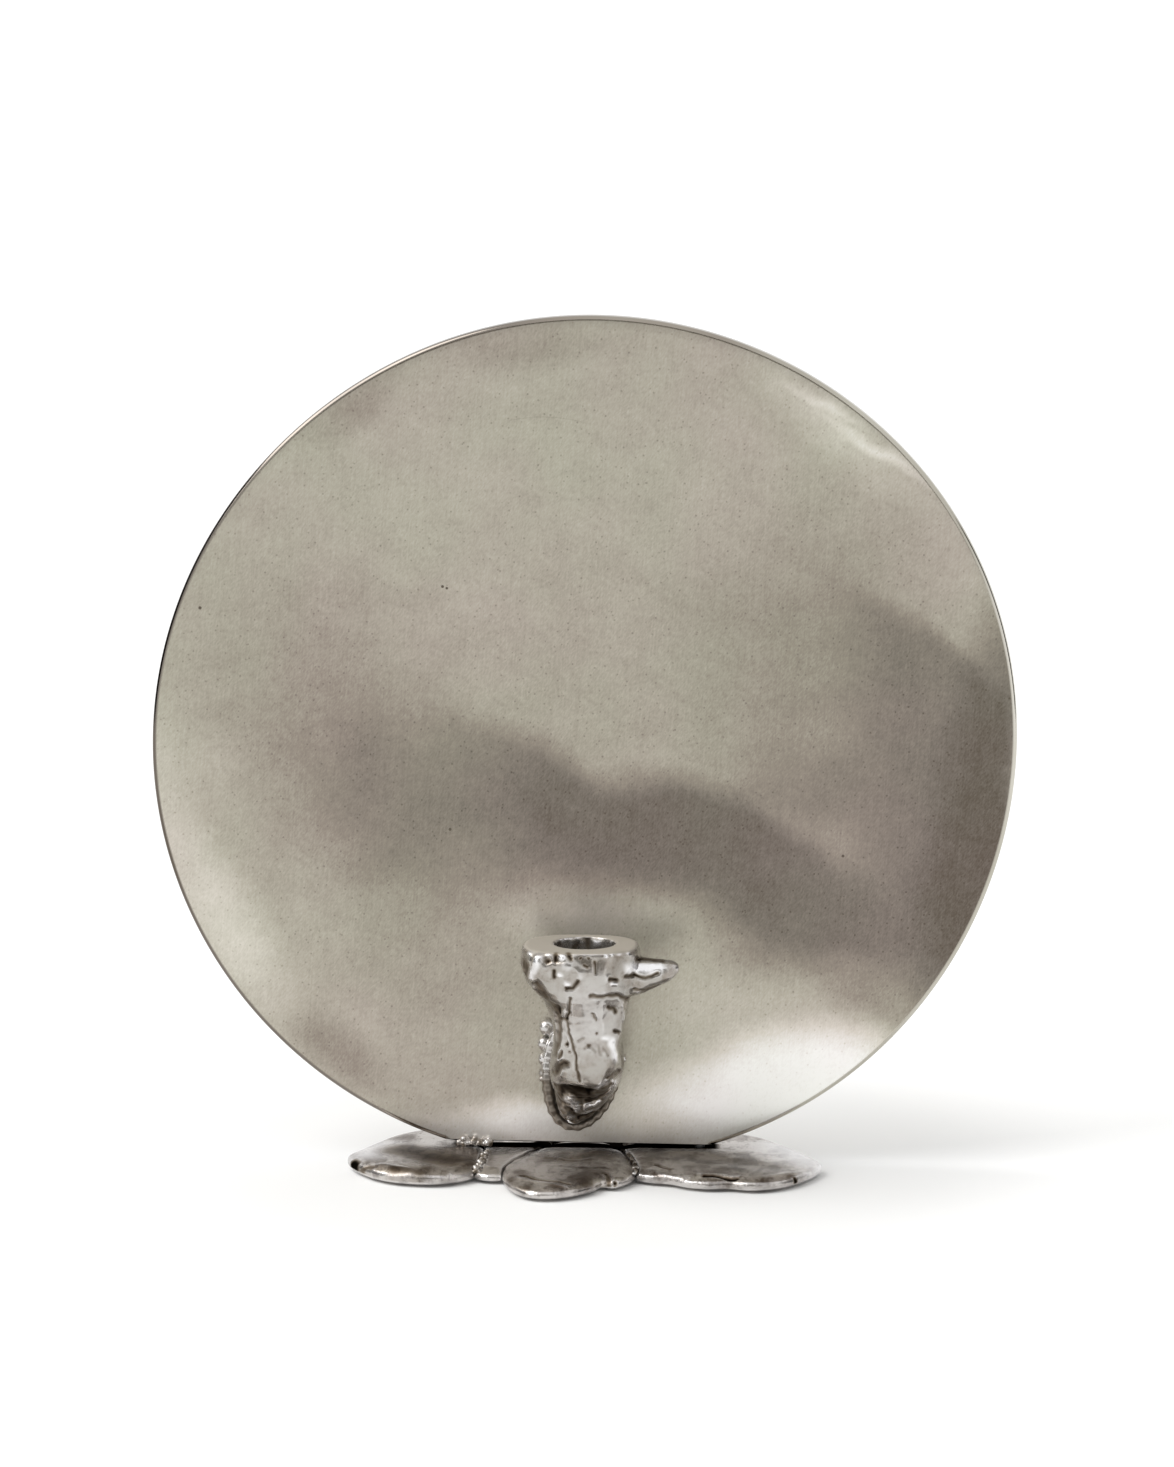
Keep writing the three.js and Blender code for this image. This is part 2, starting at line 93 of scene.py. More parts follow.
def mixColours(tree, share, low, high, blend="MIX"):
    settings = {"data_type": "RGBA", "blend_type": blend}
    return addNode(tree, "ShaderNodeMix", settings, {0: share, 6: low, 7: high}).outputs[2]


def addNoise(tree, place, size, detail, roughness=0.5):
    # noise in lumps about `size` across
    return addNode(tree, "ShaderNodeTexNoise", None, {
        "Vector": place, "Scale": 1 / (size * mm), "Detail": detail, "Roughness": roughness}).outputs


def addRamp(tree, value, tones):
    # tones are (position, hex colour) pairs
    ramp = addNode(tree, "ShaderNodeValToRGB", None, {"Fac": value})
    stops = ramp.color_ramp.elements
    while len(stops) < len(tones):
        stops.new(0.5)
    for stop, (position, code) in zip(stops, tones):
        stop.position = position
        stop.color = hexColour(code)
    return ramp.outputs["Color"]


def addBump(tree, height, depth):
    return addNode(tree, "ShaderNodeBump", None, {
        "Height": height, "Distance": depth * mm, "Strength": 1.0}).outputs[0]


def readAttribute(tree, name):
    return addNode(tree, "ShaderNodeAttribute", {"attribute_name": name}).outputs["Fac"]


def objectPlace(tree):
    return addNode(tree, "ShaderNodeTexCoord").outputs["Object"]


def newMaterial(name):
    material = bpy.data.materials.new(name)
    material.use_nodes = True
    material.node_tree.nodes.clear()
    return material, material.node_tree


def setSurface(tree, kind, inputs):
    shader = addNode(tree, kind, None, inputs)
    addNode(tree, "ShaderNodeOutputMaterial", None, {"Surface": shader.outputs[0]})


# Helpers for meshes

def addObject(name, data):
    made = bpy.data.objects.new(name, data)
    bpy.context.scene.collection.objects.link(made)
    return made


def meshObject(name, verts, faces, material, smooth=True):
    mesh = bpy.data.meshes.new(name)
    mesh.from_pydata([tuple(v) for v in verts], [], [tuple(f) for f in faces])
    mesh.materials.append(material)
    mesh.polygons.foreach_set("use_smooth", [smooth] * len(mesh.polygons))
    return addObject(name, mesh)


def readPlaces(mesh):
    # vertex positions in millimetres
    places = np.empty(len(mesh.vertices) * 3, np.float32)
    mesh.vertices.foreach_get("co", places)
    return places.reshape(-1, 3).astype(float) / mm


def readNormals(mesh):
    normals = np.empty(len(mesh.vertices) * 3, np.float32)
    mesh.vertex_normals.foreach_get("vector", normals)
    return normals.reshape(-1, 3).astype(float)


def writePlaces(mesh, places):
    mesh.vertices.foreach_set("co", (places * mm).astype(np.float32).ravel())
    mesh.update()


def writeValue(mesh, name, values):
    layer = mesh.attributes.new(name, "FLOAT", "POINT")
    layer.data.foreach_set("value", np.clip(values, 0, 1).astype(np.float32))


def readHollows(mesh, places, normals, rounds):
    # how far each vertex lies under the smoothed surface around it, in millimetres
    ends = np.empty(len(mesh.edges) * 2, np.int32)
    mesh.edges.foreach_get("vertices", ends)
    ends = ends.reshape(-1, 2)
    number = len(places)
    count = np.bincount(ends.ravel(), minlength=number)[:, None]
    smooth = places
    for _ in range(rounds):
        smooth = np.stack([
            np.bincount(ends[:, 0], smooth[ends[:, 1], axis], number)
            + np.bincount(ends[:, 1], smooth[ends[:, 0], axis], number)
            for axis in range(3)], axis=1) / count
    return ((smooth - places) * normals).sum(1)


seedSteps = (17.3, 5.1, 9.7)  # each seed moves the noise along by this much


def noiseField(places, size, seed):
    # a value from about -1 to 1 at each place, in lumps about `size` across
    offset = Vector([seed * step for step in seedSteps])
    return np.array([noise.noise(Vector(place) / size + offset) for place in places])


def addLumps(lift, places, lumps):
    # lumps are given by size, height and seed
    for size, height, seed in lumps:
        lift += height * noiseField(places, size, seed)


def smoothStep(low, high, values):
    share = np.clip((values - low) / (high - low), 0, 1)
    return share * share * (3 - 2 * share)


def bakeModifiers(piece, material):
    # the evaluated mesh replaces the piece's own, and no modifier is left
    graph = bpy.context.evaluated_depsgraph_get()
    result = bpy.data.meshes.new_from_object(piece.evaluated_get(graph))
    piece.modifiers.clear()
    piece.data = result
    result.name = piece.name
    result.materials.clear()
    result.materials.append(material)
    result.polygons.foreach_set("use_smooth", [True] * len(result.polygons))


def finishPiece(piece, slot, *nodes):
    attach(piece, "root")
    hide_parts(*nodes)
    print("made", piece.name, len(piece.data.polygons), "faces")


# Camera, at the photograph's angle

shot = {
    "azimuth": 3, "elevation": 10, "distance": 2560, "aim": (1.23, 0.03, 162),
    "focalPixels": 6907, "framePixels": 1467, "sensor": 36, "farthest": 100000,
}


def addCamera():
    data = bpy.data.cameras.new("studioCamera")
    data.sensor_fit = "VERTICAL"
    data.sensor_height = shot["sensor"]
    data.lens = shot["sensor"] * shot["focalPixels"] / shot["framePixels"]
    data.clip_end = shot["farthest"] * mm
    camera = addObject("studioCamera", data)
    turn, lift = math.radians(shot["azimuth"]), math.radians(shot["elevation"])
    away = Vector((math.sin(turn) * math.cos(lift), -math.cos(turn) * math.cos(lift), math.sin(lift)))
    shot["eye"] = np.array(Vector(shot["aim"]) + away * shot["distance"])
    camera.location = shot["eye"] * mm
    camera.rotation_euler = (math.pi / 2 - lift, 0, turn)
    bpy.context.scene.camera = camera


addCamera()


# Stage: white floor, white world, one wide sun, and dark and grey cards that only reflections see

stage = {
    # the floor adds its lift in reflections, and glows a little to the camera, more from this far out, so
    # that the shadow ends as in the photograph
    "floorSize": 40000, "floorDrop": 0.05, "floorColour": "#f8f8f7", "floorLift": 0.05,
    "glow": {"near": 0.015, "far": 0.14, "from": 125, "to": 215},
    "worldFill": 0.64,
    "sun": {"from": (-1, -0.2, 0.95), "spread": 54, "strength": 2.25},
    "cards": [
        {"name": "cardLeft", "at": (-1500, 200, 500), "size": (1700, 1300), "colour": "#1c1b1a"},
        {"name": "cardRight", "at": (1600, 100, 450), "size": (800, 900), "colour": "#1c1b1a"},
        {"name": "cardFront", "at": (0, -3200, 1250), "size": (3200, 2200), "colour": "#8a867f"},
    ],
}


def addFloor():
    material, tree = newMaterial("whitePaperSweep")
    path, glow = addNode(tree, "ShaderNodeLightPath").outputs, stage["glow"]
    reach = addVectorMath(tree, "LENGTH", objectPlace(tree))
    start, end = glow["from"] * mm, glow["to"] * mm
    shine = addMapRange(tree, reach, start, end, glow["near"], glow["far"], smooth=True)
    shine = addMath(tree, "MULTIPLY", shine, path["Is Camera Ray"])
    lift = addMath(tree, "MULTIPLY_ADD", path["Is Glossy Ray"], stage["floorLift"], shine)
    paper = addNode(tree, "ShaderNodeBsdfDiffuse", None, {"Color": stage["floorColour"]})
    light = addNode(tree, "ShaderNodeEmission", None, {"Color": (1, 1, 1, 1), "Strength": lift})
    setSurface(tree, "ShaderNodeAddShader", {0: paper.outputs[0], 1: light.outputs[0]})
    half, z = stage["floorSize"] * mm / 2, -stage["floorDrop"] * mm
    corners = [(-half, -half, z), (half, -half, z), (half, half, z), (-half, half, z)]
    meshObject("floor", corners, [(0, 1, 2, 3)], material, smooth=False)


def addWorld():
    # plain white to the eye and in reflections, and a softer light on the object
    world = bpy.data.worlds.new("whiteStudio")
    bpy.context.scene.world = world
    world.use_nodes = True
    tree = world.node_tree
    tree.nodes.clear()
    path = addNode(tree, "ShaderNodeLightPath").outputs
    seen = addMath(tree, "MAXIMUM", path["Is Camera Ray"], path["Is Glossy Ray"])
    seen = addMath(tree, "MAXIMUM", seen, path["Is Transmission Ray"])
    level = addMapRange(tree, seen, 0.0, 1.0, stage["worldFill"], 1.0)
    sky = addNode(tree, "ShaderNodeBackground", None, {"Color": (1, 1, 1, 1), "Strength": level})
    addNode(tree, "ShaderNodeOutputWorld", None, {"Surface": sky.outputs[0]})


def addSun():
    sun = stage["sun"]
    data = bpy.data.lights.new("keyLight", "SUN")
    data.energy = sun["strength"]
    data.angle = math.radians(sun["spread"])
    lamp = addObject("keyLight", data)
    lamp.rotation_euler = Vector(sun["from"]).to_track_quat("Z", "Y").to_euler()


def addCards():
    for card in stage["cards"]:
        material, tree = newMaterial(card["name"])
        setSurface(tree, "ShaderNodeBsdfDiffuse", {"Color": card["colour"]})
        at = Vector(card["at"])
        side = Vector((at.y, -at.x, 0)).normalized() * card["size"][0] / 2
        up = Vector((0, 0, card["size"][1] / 2))
        corners = [(at + a * side + b * up) * mm for a, b in ((-1, -1), (1, -1), (1, 1), (-1, 1))]
        piece = meshObject(card["name"], corners, [(0, 1, 2, 3)], material, smooth=False)
        piece.visible_camera = False
        piece.visible_diffuse = False
        piece.visible_shadow = False


addFloor()
addWorld()
addSun()
addCards()
print("stage and camera placed")


# Disc material

def cloud(at, half, tone, strength, soft=0.8, turn=0):
    # a soft patch of tone on the disc: middle, half lengths, tone and its strength, softness of the edge as a
    # share, turn in degrees
    return {"at": at, "half": half, "tone": tone, "strength": strength, "soft": soft, "turn": turn}


patinaAndPaintedLight = {
    "tones": [(0.36, "#645c53"), (0.45, "#7e7770"), (0.55, "#9a9288"), (0.67, "#bbb7ab"), (0.8, "#dcd8cf"),
              (1.0, "#ffffff")],
    "ground": 0.65,
    # slow and fine noise push the clouds' edges about
    "warps": [{"size": 38, "reach": 6}, {"size": 9, "reach": 1.6}],
    "warpDetail": 3.0, "warpRoughness": 0.55,
    # clouds, veils and late clouds are laid in this order. Most of them are painted reflections of the
    # surroundings, with painted shade and painted highlights, and the rest is tarnish
    "clouds": [
        cloud((0, 140), (160, 90), 0.605, 0.8, soft=0.5),
        cloud((-92, 156), (52, 54), 0.57, 0.9),
        cloud((-72, 139), (36, 33), 0.475, 0.85, soft=0.7, turn=-8),
        cloud((88, 190), (38, 50), 0.545, 0.8),
        cloud((82, 142), (22, 14), 0.49, 0.8),
        cloud((-25, 305), (28, 7), 0.585, 0.8, soft=0.9, turn=3),
        cloud((-84, 283), (14, 5.5), 0.56, 0.8, soft=0.9, turn=38),
        cloud((-66, 78), (30, 24), 0.58, 0.8),
    ],
    # Veils are painted reflections of dark bands. They hang from a drawn line: at the line the tone changes
    # within
    # `edge`, it holds down to `fade` below the line and is gone at `depth`
    "veils": [
        {"line": [(-110, 160), (-79, 164), (-50, 168), (-35, 165), (-20, 160), (-5, 152), (8, 144), (20, 146),
                  (32, 147), (45, 143), (58, 138), (69, 130), (84, 122), (99, 113), (125, 104)],
         "edge": 8.5, "fade": 26, "depth": 82, "from": -52, "to": 112, "ends": 44,
         "tone": 0.418, "strength": 0.95},
        {"line": [(55, 240), (84, 226), (99, 217), (114, 211), (129, 203), (144, 188), (162, 170)],
         "edge": 6, "fade": 110, "depth": 150, "from": 100, "to": 220, "ends": 20,
         "tone": 0.47, "strength": 0.95},
    ],
    "lateClouds": [
        cloud((148, 125), (20, 78), 0.385, 0.95, soft=0.6, turn=-9),
        cloud((94, 94), (32, 15), 0.44, 0.7, turn=-30),
        cloud((164, 150), (6, 34), 0.5, 0.9, soft=0.6),
        cloud((40, 86), (17, 12), 0.62, 0.8, turn=-20),
        cloud((3, 103), (20, 8), 0.58, 0.6, soft=0.9),
        # a paler painted patch behind the arm's head, set against the arm's own reflection and shade on the
        # disc
        cloud((5, 92), (24, 10), 0.83, 0.85, soft=0.9),
        cloud((40, 64), (12, 24), 0.76, 0.35),
        cloud((-140, 135), (10, 22), 0.7, 0.4),
        cloud((-50, 205), (26, 70), 0.68, 0.3),
        # a painted highlight at the upper right, and two painted streaks of reflection along the edge there
        cloud((91, 282), (30, 9), 0.74, 0.9, soft=0.9, turn=-42),
        cloud((89, 286), (13, 1.6), 0.86, 0.7, soft=1.0, turn=-27),
        cloud((109, 269), (18, 1.8), 0.88, 0.75, soft=1.0, turn=-33),
        cloud((-156, 140), (10, 32), 0.72, 0.9),
        cloud((-114, 92), (36, 70), 0.67, 0.4, turn=20),
        cloud((-134, 92), (12, 34), 0.78, 0.9, turn=30),
        cloud((-92, 43), (18, 8), 0.52, 0.7, soft=0.9, turn=-35),
        cloud((66, 50), (46, 20), 0.7, 0.85, turn=5),
        cloud((103, 68), (14, 9), 0.55, 0.8, turn=-30),
        # painted highlights low on the right, a painted reflection of the foot's bevel along the bottom, and
        # a painted shadow of the arm beside it
        cloud((79, 31), (38, 18), 1.0, 1.0, soft=0.6, turn=8),
        cloud((56, 20), (38, 15), 1.0, 1.0, turn=6),
        cloud((0, 10), (75, 9), 0.93, 0.9, soft=0.6),
        cloud((-20, 15), (14, 8), 1.0, 0.6),
        cloud((19, 15), (18, 8), 0.78, 0.7),
    ],
    # the back has a plainer tarnish of its own, blended in across the middle plane
    "back": {"size": 95, "detail": 3.0, "drift": (0.25, 0.75), "tones": (0.53, 0.75), "blend": 1},
    # flecks of tone: width and length, lean in degrees, how far the tone wavers
    "flecks": [
        {"size": (17, 13), "lean": 20, "detail": 3.0, "reach": 0.08},
        {"size": (3, 3.6), "lean": 20, "detail": 3.0, "reach": 0.07},
        {"size": (0.6, 1.5), "lean": 34, "detail": 2.0, "reach": 0.15},
        {"size": (0.6, 30), "lean": 4, "detail": 2.0, "reach": 0.06},
    ],
    "fleckRoughness": 0.6,
    # dark specks where a casting pore comes near the surface, and five open pits
    "specks": {"spacing": 2.6, "small": 0.06, "large": 0.2, "depth": 0.09},
    "pits": [cloud((x, z), (half, half), 0.1, 1.0, soft=0.5) for x, z, half in (
        (-142, 208.5, 0.5), (-52, 217.2, 0.45), (-50.4, 216.6, 0.4), (-49.5, 126, 0.45),
        (96.4, 117.4, 0.45))],
    "scratch": {"at": (-14.6, 222.8), "radius": 57.7, "half": 0.35, "from": -31, "to": 3, "ends": 6,
                "blend": 1, "depth": 0.035},
    # a faint cast of colour wanders between pinkish and greenish
    "hue": {"size": 75, "detail": 2.0, "range": (0.35, 0.65), "low": "#fffafa", "high": "#fbfdf7"},
    # a tarnish film scatters part of the light, and the ground metal under it reflects the rest
    "metallic": 0.6, "roughness": 0.27,
    # the rolled edge is polished, with its reflections painted on: darker on the left, pale on the right
    "rim": {"left": 0.38, "right": 0.72, "reach": 160, "drift": 0.3, "roughness": 0.14},
    "gapShade": "#0b0a09",
    "anyDepth": 1000,  # patches and scratch are drawn across, and reach through the whole thickness
}


def addCloud(tree, place, patch, tone):
    (x, z), (a, b) = patch["at"], patch["half"]
    local = addNode(tree, "ShaderNodeMapping", {"vector_type": "TEXTURE"}, {
        "Vector": place, "Location": (x * mm, 0, z * mm), "Rotation": (0, -math.radians(patch["turn"]), 0),
        "Scale": (a * mm, patinaAndPaintedLight["anyDepth"], b * mm)})
    reach = addVectorMath(tree, "LENGTH", local.outputs[0])
    soft = patch["soft"]
    mask = addMapRange(tree, reach, 1 - soft, 1 + soft, patch["strength"], 0.0, smooth=True)
    return mixValues(tree, mask, tone, patch["tone"])


def maskOf(tree, ranges):
    # the product of smooth steps, each from one level at `low` to another at `high`
    mask = 1.0
    for value, low, high, start, end in ranges:
        step = addMapRange(tree, value, low * mm, high * mm, start, end, smooth=True)
        mask = addMath(tree, "MULTIPLY", mask, step)
    return mask


def addVeil(tree, across, up, veil, tone):
    line = veil["line"]
    left, right, top = line[0][0], line[-1][0], max(z for x, z in line)
    share = addMapRange(tree, across, left * mm, right * mm)
    curve = addNode(tree, "ShaderNodeFloatCurve", None, {"Value": share})
    points = curve.mapping.curves[0].points
    while len(points) < len(line):
        points.new(0.5, 0.5)
    for point, (x, z) in zip(points, line):
        point.location = ((x - left) / (right - left), z / top)
    curve.mapping.update()
    below = addMath(tree, "SUBTRACT", addMath(tree, "MULTIPLY", curve.outputs[0], top * mm), up)
    mask = maskOf(tree, [
        (below, -veil["edge"], veil["edge"], 0.0, veil["strength"]),
        (below, veil["fade"], veil["depth"], 1.0, 0.0),
        (across, veil["from"] - veil["ends"], veil["from"] + veil["ends"], 0.0, 1.0),
        (across, veil["to"] - veil["ends"], veil["to"] + veil["ends"], 1.0, 0.0),
    ])
    return mixValues(tree, mask, tone, veil["tone"])


def addFlecks(tree, place, fleck, tone):
    width, length = fleck["size"]
    local = addNode(tree, "ShaderNodeMapping", {"vector_type": "TEXTURE"}, {
        "Vector": place, "Rotation": (0, math.radians(fleck["lean"]), 0),
        "Scale": (width * mm, width * mm, length * mm)})
    field = addNode(tree, "ShaderNodeTexNoise", None, {
        "Vector": local.outputs[0], "Scale": 1.0, "Detail": fleck["detail"],
        "Roughness": patinaAndPaintedLight["fleckRoughness"]})
    centred = addMath(tree, "SUBTRACT", field.outputs["Fac"], 0.5)
    return addMath(tree, "MULTIPLY_ADD", centred, fleck["reach"], tone)


def addScratch(tree, place, across, up, scratch, tone):
    # a hairline along the top of a circle, dark where the distance from its middle is the radius
    x, z = scratch["at"]
    local = addNode(tree, "ShaderNodeMapping", {"vector_type": "TEXTURE"}, {
        "Vector": place, "Location": (x * mm, 0, z * mm), "Scale": (1, patinaAndPaintedLight["anyDepth"], 1)})
    reach = addVectorMath(tree, "LENGTH", local.outputs[0])
    off = addMath(tree, "ABSOLUTE", addMath(tree, "SUBTRACT", reach, scratch["radius"] * mm))
    depth = maskOf(tree, [
        (off, 0, scratch["half"], scratch["depth"], 0.0),
        (across, scratch["from"], scratch["from"] + scratch["ends"], 0.0, 1.0),
        (across, scratch["to"] - scratch["ends"], scratch["to"], 1.0, 0.0),
        (up, z, z + scratch["blend"], 0.0, 1.0),
    ])
    return addMath(tree, "SUBTRACT", tone, depth)


def satinNickel():
    # nickel plate, ground with fine grit and left to tarnish: soft reflections, cloudy grey with a warm cast.
    # Its clouds are partly tarnish and partly painted reflections, painted shade and painted highlights
    material, tree = newMaterial("satinNickel")
    place = pushed = objectPlace(tree)
    for warp in patinaAndPaintedLight["warps"]:
        field = addNoise(tree, place, warp["size"], patinaAndPaintedLight["warpDetail"], patinaAndPaintedLight["warpRoughness"])["Color"]
        centred = addVectorMath(tree, "SUBTRACT", field, (0.5, 0.5, 0.5))
        pushed = addVectorMath(tree, "MULTIPLY_ADD", centred, (2 * warp["reach"] * mm,) * 3, pushed)
    warped = addNode(tree, "ShaderNodeSeparateXYZ", None, {0: pushed}).outputs
    plain = addNode(tree, "ShaderNodeSeparateXYZ", None, {0: place}).outputs
    tone = patinaAndPaintedLight["ground"]
    for patch in patinaAndPaintedLight["clouds"]:
        tone = addCloud(tree, pushed, patch, tone)
    for veil in patinaAndPaintedLight["veils"]:
        tone = addVeil(tree, warped["X"], warped["Z"], veil, tone)
    for patch in patinaAndPaintedLight["lateClouds"]:
        tone = addCloud(tree, pushed, patch, tone)
    back = patinaAndPaintedLight["back"]
    drift = addNoise(tree, place, back["size"], back["detail"])["Fac"]
    backTone = addMapRange(tree, drift, *back["drift"], *back["tones"])
    behind = addMapRange(tree, plain["Y"], -back["blend"] * mm, back["blend"] * mm)
    tone = mixValues(tree, behind, tone, backTone)
    for fleck in patinaAndPaintedLight["flecks"]:
        tone = addFlecks(tree, place, fleck, tone)
    specks = patinaAndPaintedLight["specks"]
    cells = addNode(tree, "ShaderNodeTexVoronoi", None, {
        "Vector": place, "Scale": 1 / (specks["spacing"] * mm)}).outputs["Distance"]
    dark = addMapRange(tree, cells, specks["small"], specks["large"], specks["depth"], 0.0, smooth=True)
    tone = addMath(tree, "SUBTRACT", tone, dark)
    for pit in patinaAndPaintedLight["pits"]:
        tone = addCloud(tree, place, pit, tone)
    tone = addScratch(tree, place, plain["X"], plain["Z"], patinaAndPaintedLight["scratch"], tone)
    hue = patinaAndPaintedLight["hue"]
    wander = addNoise(tree, place, hue["size"], hue["detail"])["Fac"]
    cast = mixColours(tree, addMapRange(tree, wander, *hue["range"]), hue["low"], hue["high"])
    colour = mixColours(tree, 1.0, addRamp(tree, tone, patinaAndPaintedLight["tones"]), cast, "MULTIPLY")
    # the rolled edge takes its painted reflections, and the underside of the foot is painted dark as shade in
    # the gap under it
    rim, edge, gapShade = patinaAndPaintedLight["rim"], readAttribute(tree, "edge"), readAttribute(tree, "gapShade")
    side = addMapRange(tree, plain["X"], -rim["reach"] * mm, rim["reach"] * mm, rim["left"], rim["right"])
    rimTone = addMath(tree, "MULTIPLY_ADD", addMath(tree, "SUBTRACT", wander, 0.5), rim["drift"], side)
    colour = mixColours(tree, edge, colour, addRamp(tree, rimTone, patinaAndPaintedLight["tones"]))
    setSurface(tree, "ShaderNodeBsdfPrincipled", {
        "Base Color": mixColours(tree, gapShade, colour, patinaAndPaintedLight["gapShade"]),
        "Metallic": mixValues(tree, gapShade, mixValues(tree, edge, patinaAndPaintedLight["metallic"], 1.0), 0.0),
        "Roughness": mixValues(tree, edge, patinaAndPaintedLight["roughness"], rim["roughness"]),
        "Specular IOR Level": 0.0})
    return material


# Cast metal, braze, steel and felt

castFinish = {
    "colour": "#b4b0aa", "warm": "#a0988f", "polished": "#f6f5f6", "blotch": 6, "patch": (0.42, 0.68),
    "blotchDetail": 4.0,
    # specks of tarnish are thickest where the blotches are
    "speckColour": "#8a8178", "speck": 1.6, "speckShare": 0.5, "speckLean": 0.6, "speckRange": (0.8, 0.98),
    "speckDetail": 3.0, "speckRoughness": 0.65, "stretch": (1, 1, 1),
    "grimeAndShadeTones": [(0.0, "#ffffff"), (0.35, "#a09689"), (0.7, "#4a4138"), (1.0, "#14110e")],
    # metal dulls between these two amounts of grime and painted shade
    "metallic": 0.85, "dulling": (0.2, 0.9), "roughness": 0.24, "grimeAndShadeRoughness": 0.45,
    "satinColour": "#b9b2a6", "satinMetallic": 0.25, "satinRoughness": 0.5,
    "grain": 0.9, "grainDetail": 3.0, "grainDepth": 0.03,
}
# the base was poured and barely rubbed: browner, duller and more blotched
pouredFinish = castFinish | {
    "colour": "#c0bab4", "warm": "#756a60", "blotch": 9, "patch": (0.44, 0.62), "stretch": (1, 0.6, 1),
    "speckColour": "#5d5148", "speck": 1.7, "speckShare": 0.75, "metallic": 0.8, "roughness": 0.22,
    "grain": 0.8, "grainDepth": 0.1,
}


def castNickel(name, finish):
    # nickel cast in sand and polished by hand: near mirror, brightest on its high spots, with grain left in
    # it, oxide in its creases and a satin top where a file levelled it. Its grime and shade layer also holds
    # painted shade, and its polish and highlight layer painted highlights
    material, tree = newMaterial(name)
    place = objectPlace(tree)
    drawn = addVectorMath(tree, "MULTIPLY", place, finish["stretch"])
    blotch = addNoise(tree, drawn, finish["blotch"], finish["blotchDetail"])["Fac"]
    tint = mixColours(tree, addMapRange(tree, blotch, *finish["patch"]), finish["colour"], finish["warm"])
    fine = addNoise(tree, drawn, finish["speck"], finish["speckDetail"], finish["speckRoughness"])["Fac"]
    thick = addMath(tree, "MULTIPLY_ADD", blotch, finish["speckLean"], fine)
    speck = addMapRange(tree, thick, *finish["speckRange"], 0.0, finish["speckShare"], smooth=True)
    tint = mixColours(tree, speck, tint, finish["speckColour"])
    grimeAndShade, polishAndHighlight, satin = (readAttribute(tree, layer) for layer in ("grimeAndShade", "polishAndHighlight", "satin"))
    tint = mixColours(tree, polishAndHighlight, tint, finish["polished"])
    tint = mixColours(tree, satin, tint, finish["satinColour"])
    tint = mixColours(tree, 1.0, tint, addRamp(tree, grimeAndShade, finish["grimeAndShadeTones"]), "MULTIPLY")
    rough = addMapRange(tree, grimeAndShade, 0.0, 1.0, finish["roughness"], finish["grimeAndShadeRoughness"])
    # oxide, painted shade and the filed top scatter light more than they mirror it
    bare = addMapRange(tree, grimeAndShade, *finish["dulling"], finish["metallic"], 0.0)
    grain = addNoise(tree, place, finish["grain"], finish["grainDetail"])["Fac"]
    setSurface(tree, "ShaderNodeBsdfPrincipled", {
        "Base Color": tint, "Metallic": mixValues(tree, satin, bare, finish["satinMetallic"]),
        "Roughness": mixValues(tree, satin, rough, finish["satinRoughness"]), "Specular IOR Level": 0.0,
        "Normal": addBump(tree, grain, finish["grainDepth"])})
    return material


steelFinish = {
    "colour": "#8d8f92", "roughness": 0.3, "turning": 0.25, "turningDetail": 2.0, "turningDepth": 0.01,
}


def turnedSteel():
    # plated steel, turned: grey, half dull, with fine tool marks
    material, tree = newMaterial("turnedSteel")
    place, finish = objectPlace(tree), steelFinish
    marks = addNoise(tree, place, finish["turning"], finish["turningDetail"])["Fac"]
    setSurface(tree, "ShaderNodeBsdfPrincipled", {
        "Base Color": finish["colour"], "Metallic": 1.0, "Roughness": finish["roughness"],
        "Normal": addBump(tree, marks, finish["turningDepth"])})
    return material


feltFinish = {
    "dark": "#1d1c1b", "light": "#3b3835", "fibre": 0.35, "fibreDetail": 5.0, "fibreDepth": 0.12,
    "tangle": 1.5, "roughness": 0.95, "sheen": 0.3,
}


def pressedFelt():
    # pressed wool felt: matt, near black, with a fuzz of short fibres
    material, tree = newMaterial("pressedFelt")
    finish = feltFinish
    fibres = addNode(tree, "ShaderNodeTexNoise", None, {
        "Vector": objectPlace(tree), "Scale": 1 / (finish["fibre"] * mm), "Detail": finish["fibreDetail"],
        "Distortion": finish["tangle"]}).outputs["Fac"]
    setSurface(tree, "ShaderNodeBsdfPrincipled", {
        "Base Color": mixColours(tree, fibres, finish["dark"], finish["light"]),
        "Roughness": finish["roughness"], "Sheen Weight": finish["sheen"],
        "Normal": addBump(tree, fibres, finish["fibreDepth"])})
    return material


nickelDisc = satinNickel()
nickelCast = castNickel("castNickel", castFinish)
nickelPoured = castNickel("pouredNickel", pouredFinish)
steelScrew = turnedSteel()
woolFelt = pressedFelt()
print("materials made")


# Disc: the same outline as the solid's, with a rolled edge. Its foot was cut on a slant, so that it stands on
# the back edge alone and leaves a dark gap in front.

discSettings = {
    "radius": 159.75, "thickness": 7, "edgeRound": 1.8,
    "footBevel": 0.5, "footDrop": 152.2, "footHalf": 50, "footLift": (1.4, 0.4), "footAngles": (-72, 252),
    # waves round the edge, how far they swell, and the turn of the first crest
    "swells": [(2, 1.37, 33.6), (3, 0.43, 58.2), (4, 0.22, 19.9), (5, 0.14, 23)],
    "arcSteps": 340, "footSteps": 44, "rings": 40, "edgeSteps": 9, "seekSteps": 12,
    # rings lie closer towards the edge, the edge's finish blends in this fast, and the painted shade under
    # the foot starts this far round
    "ringGather": 0.85, "edgeBlend": 3, "gapShadeFrom": 0.6,
}


def footHeight(x, lifts):
    # height of the cut foot over the disc's middle, from its left end to its right
    half = discSettings["footHalf"]
    return np.interp(x, (-half, half), lifts) - discSettings["footDrop"]


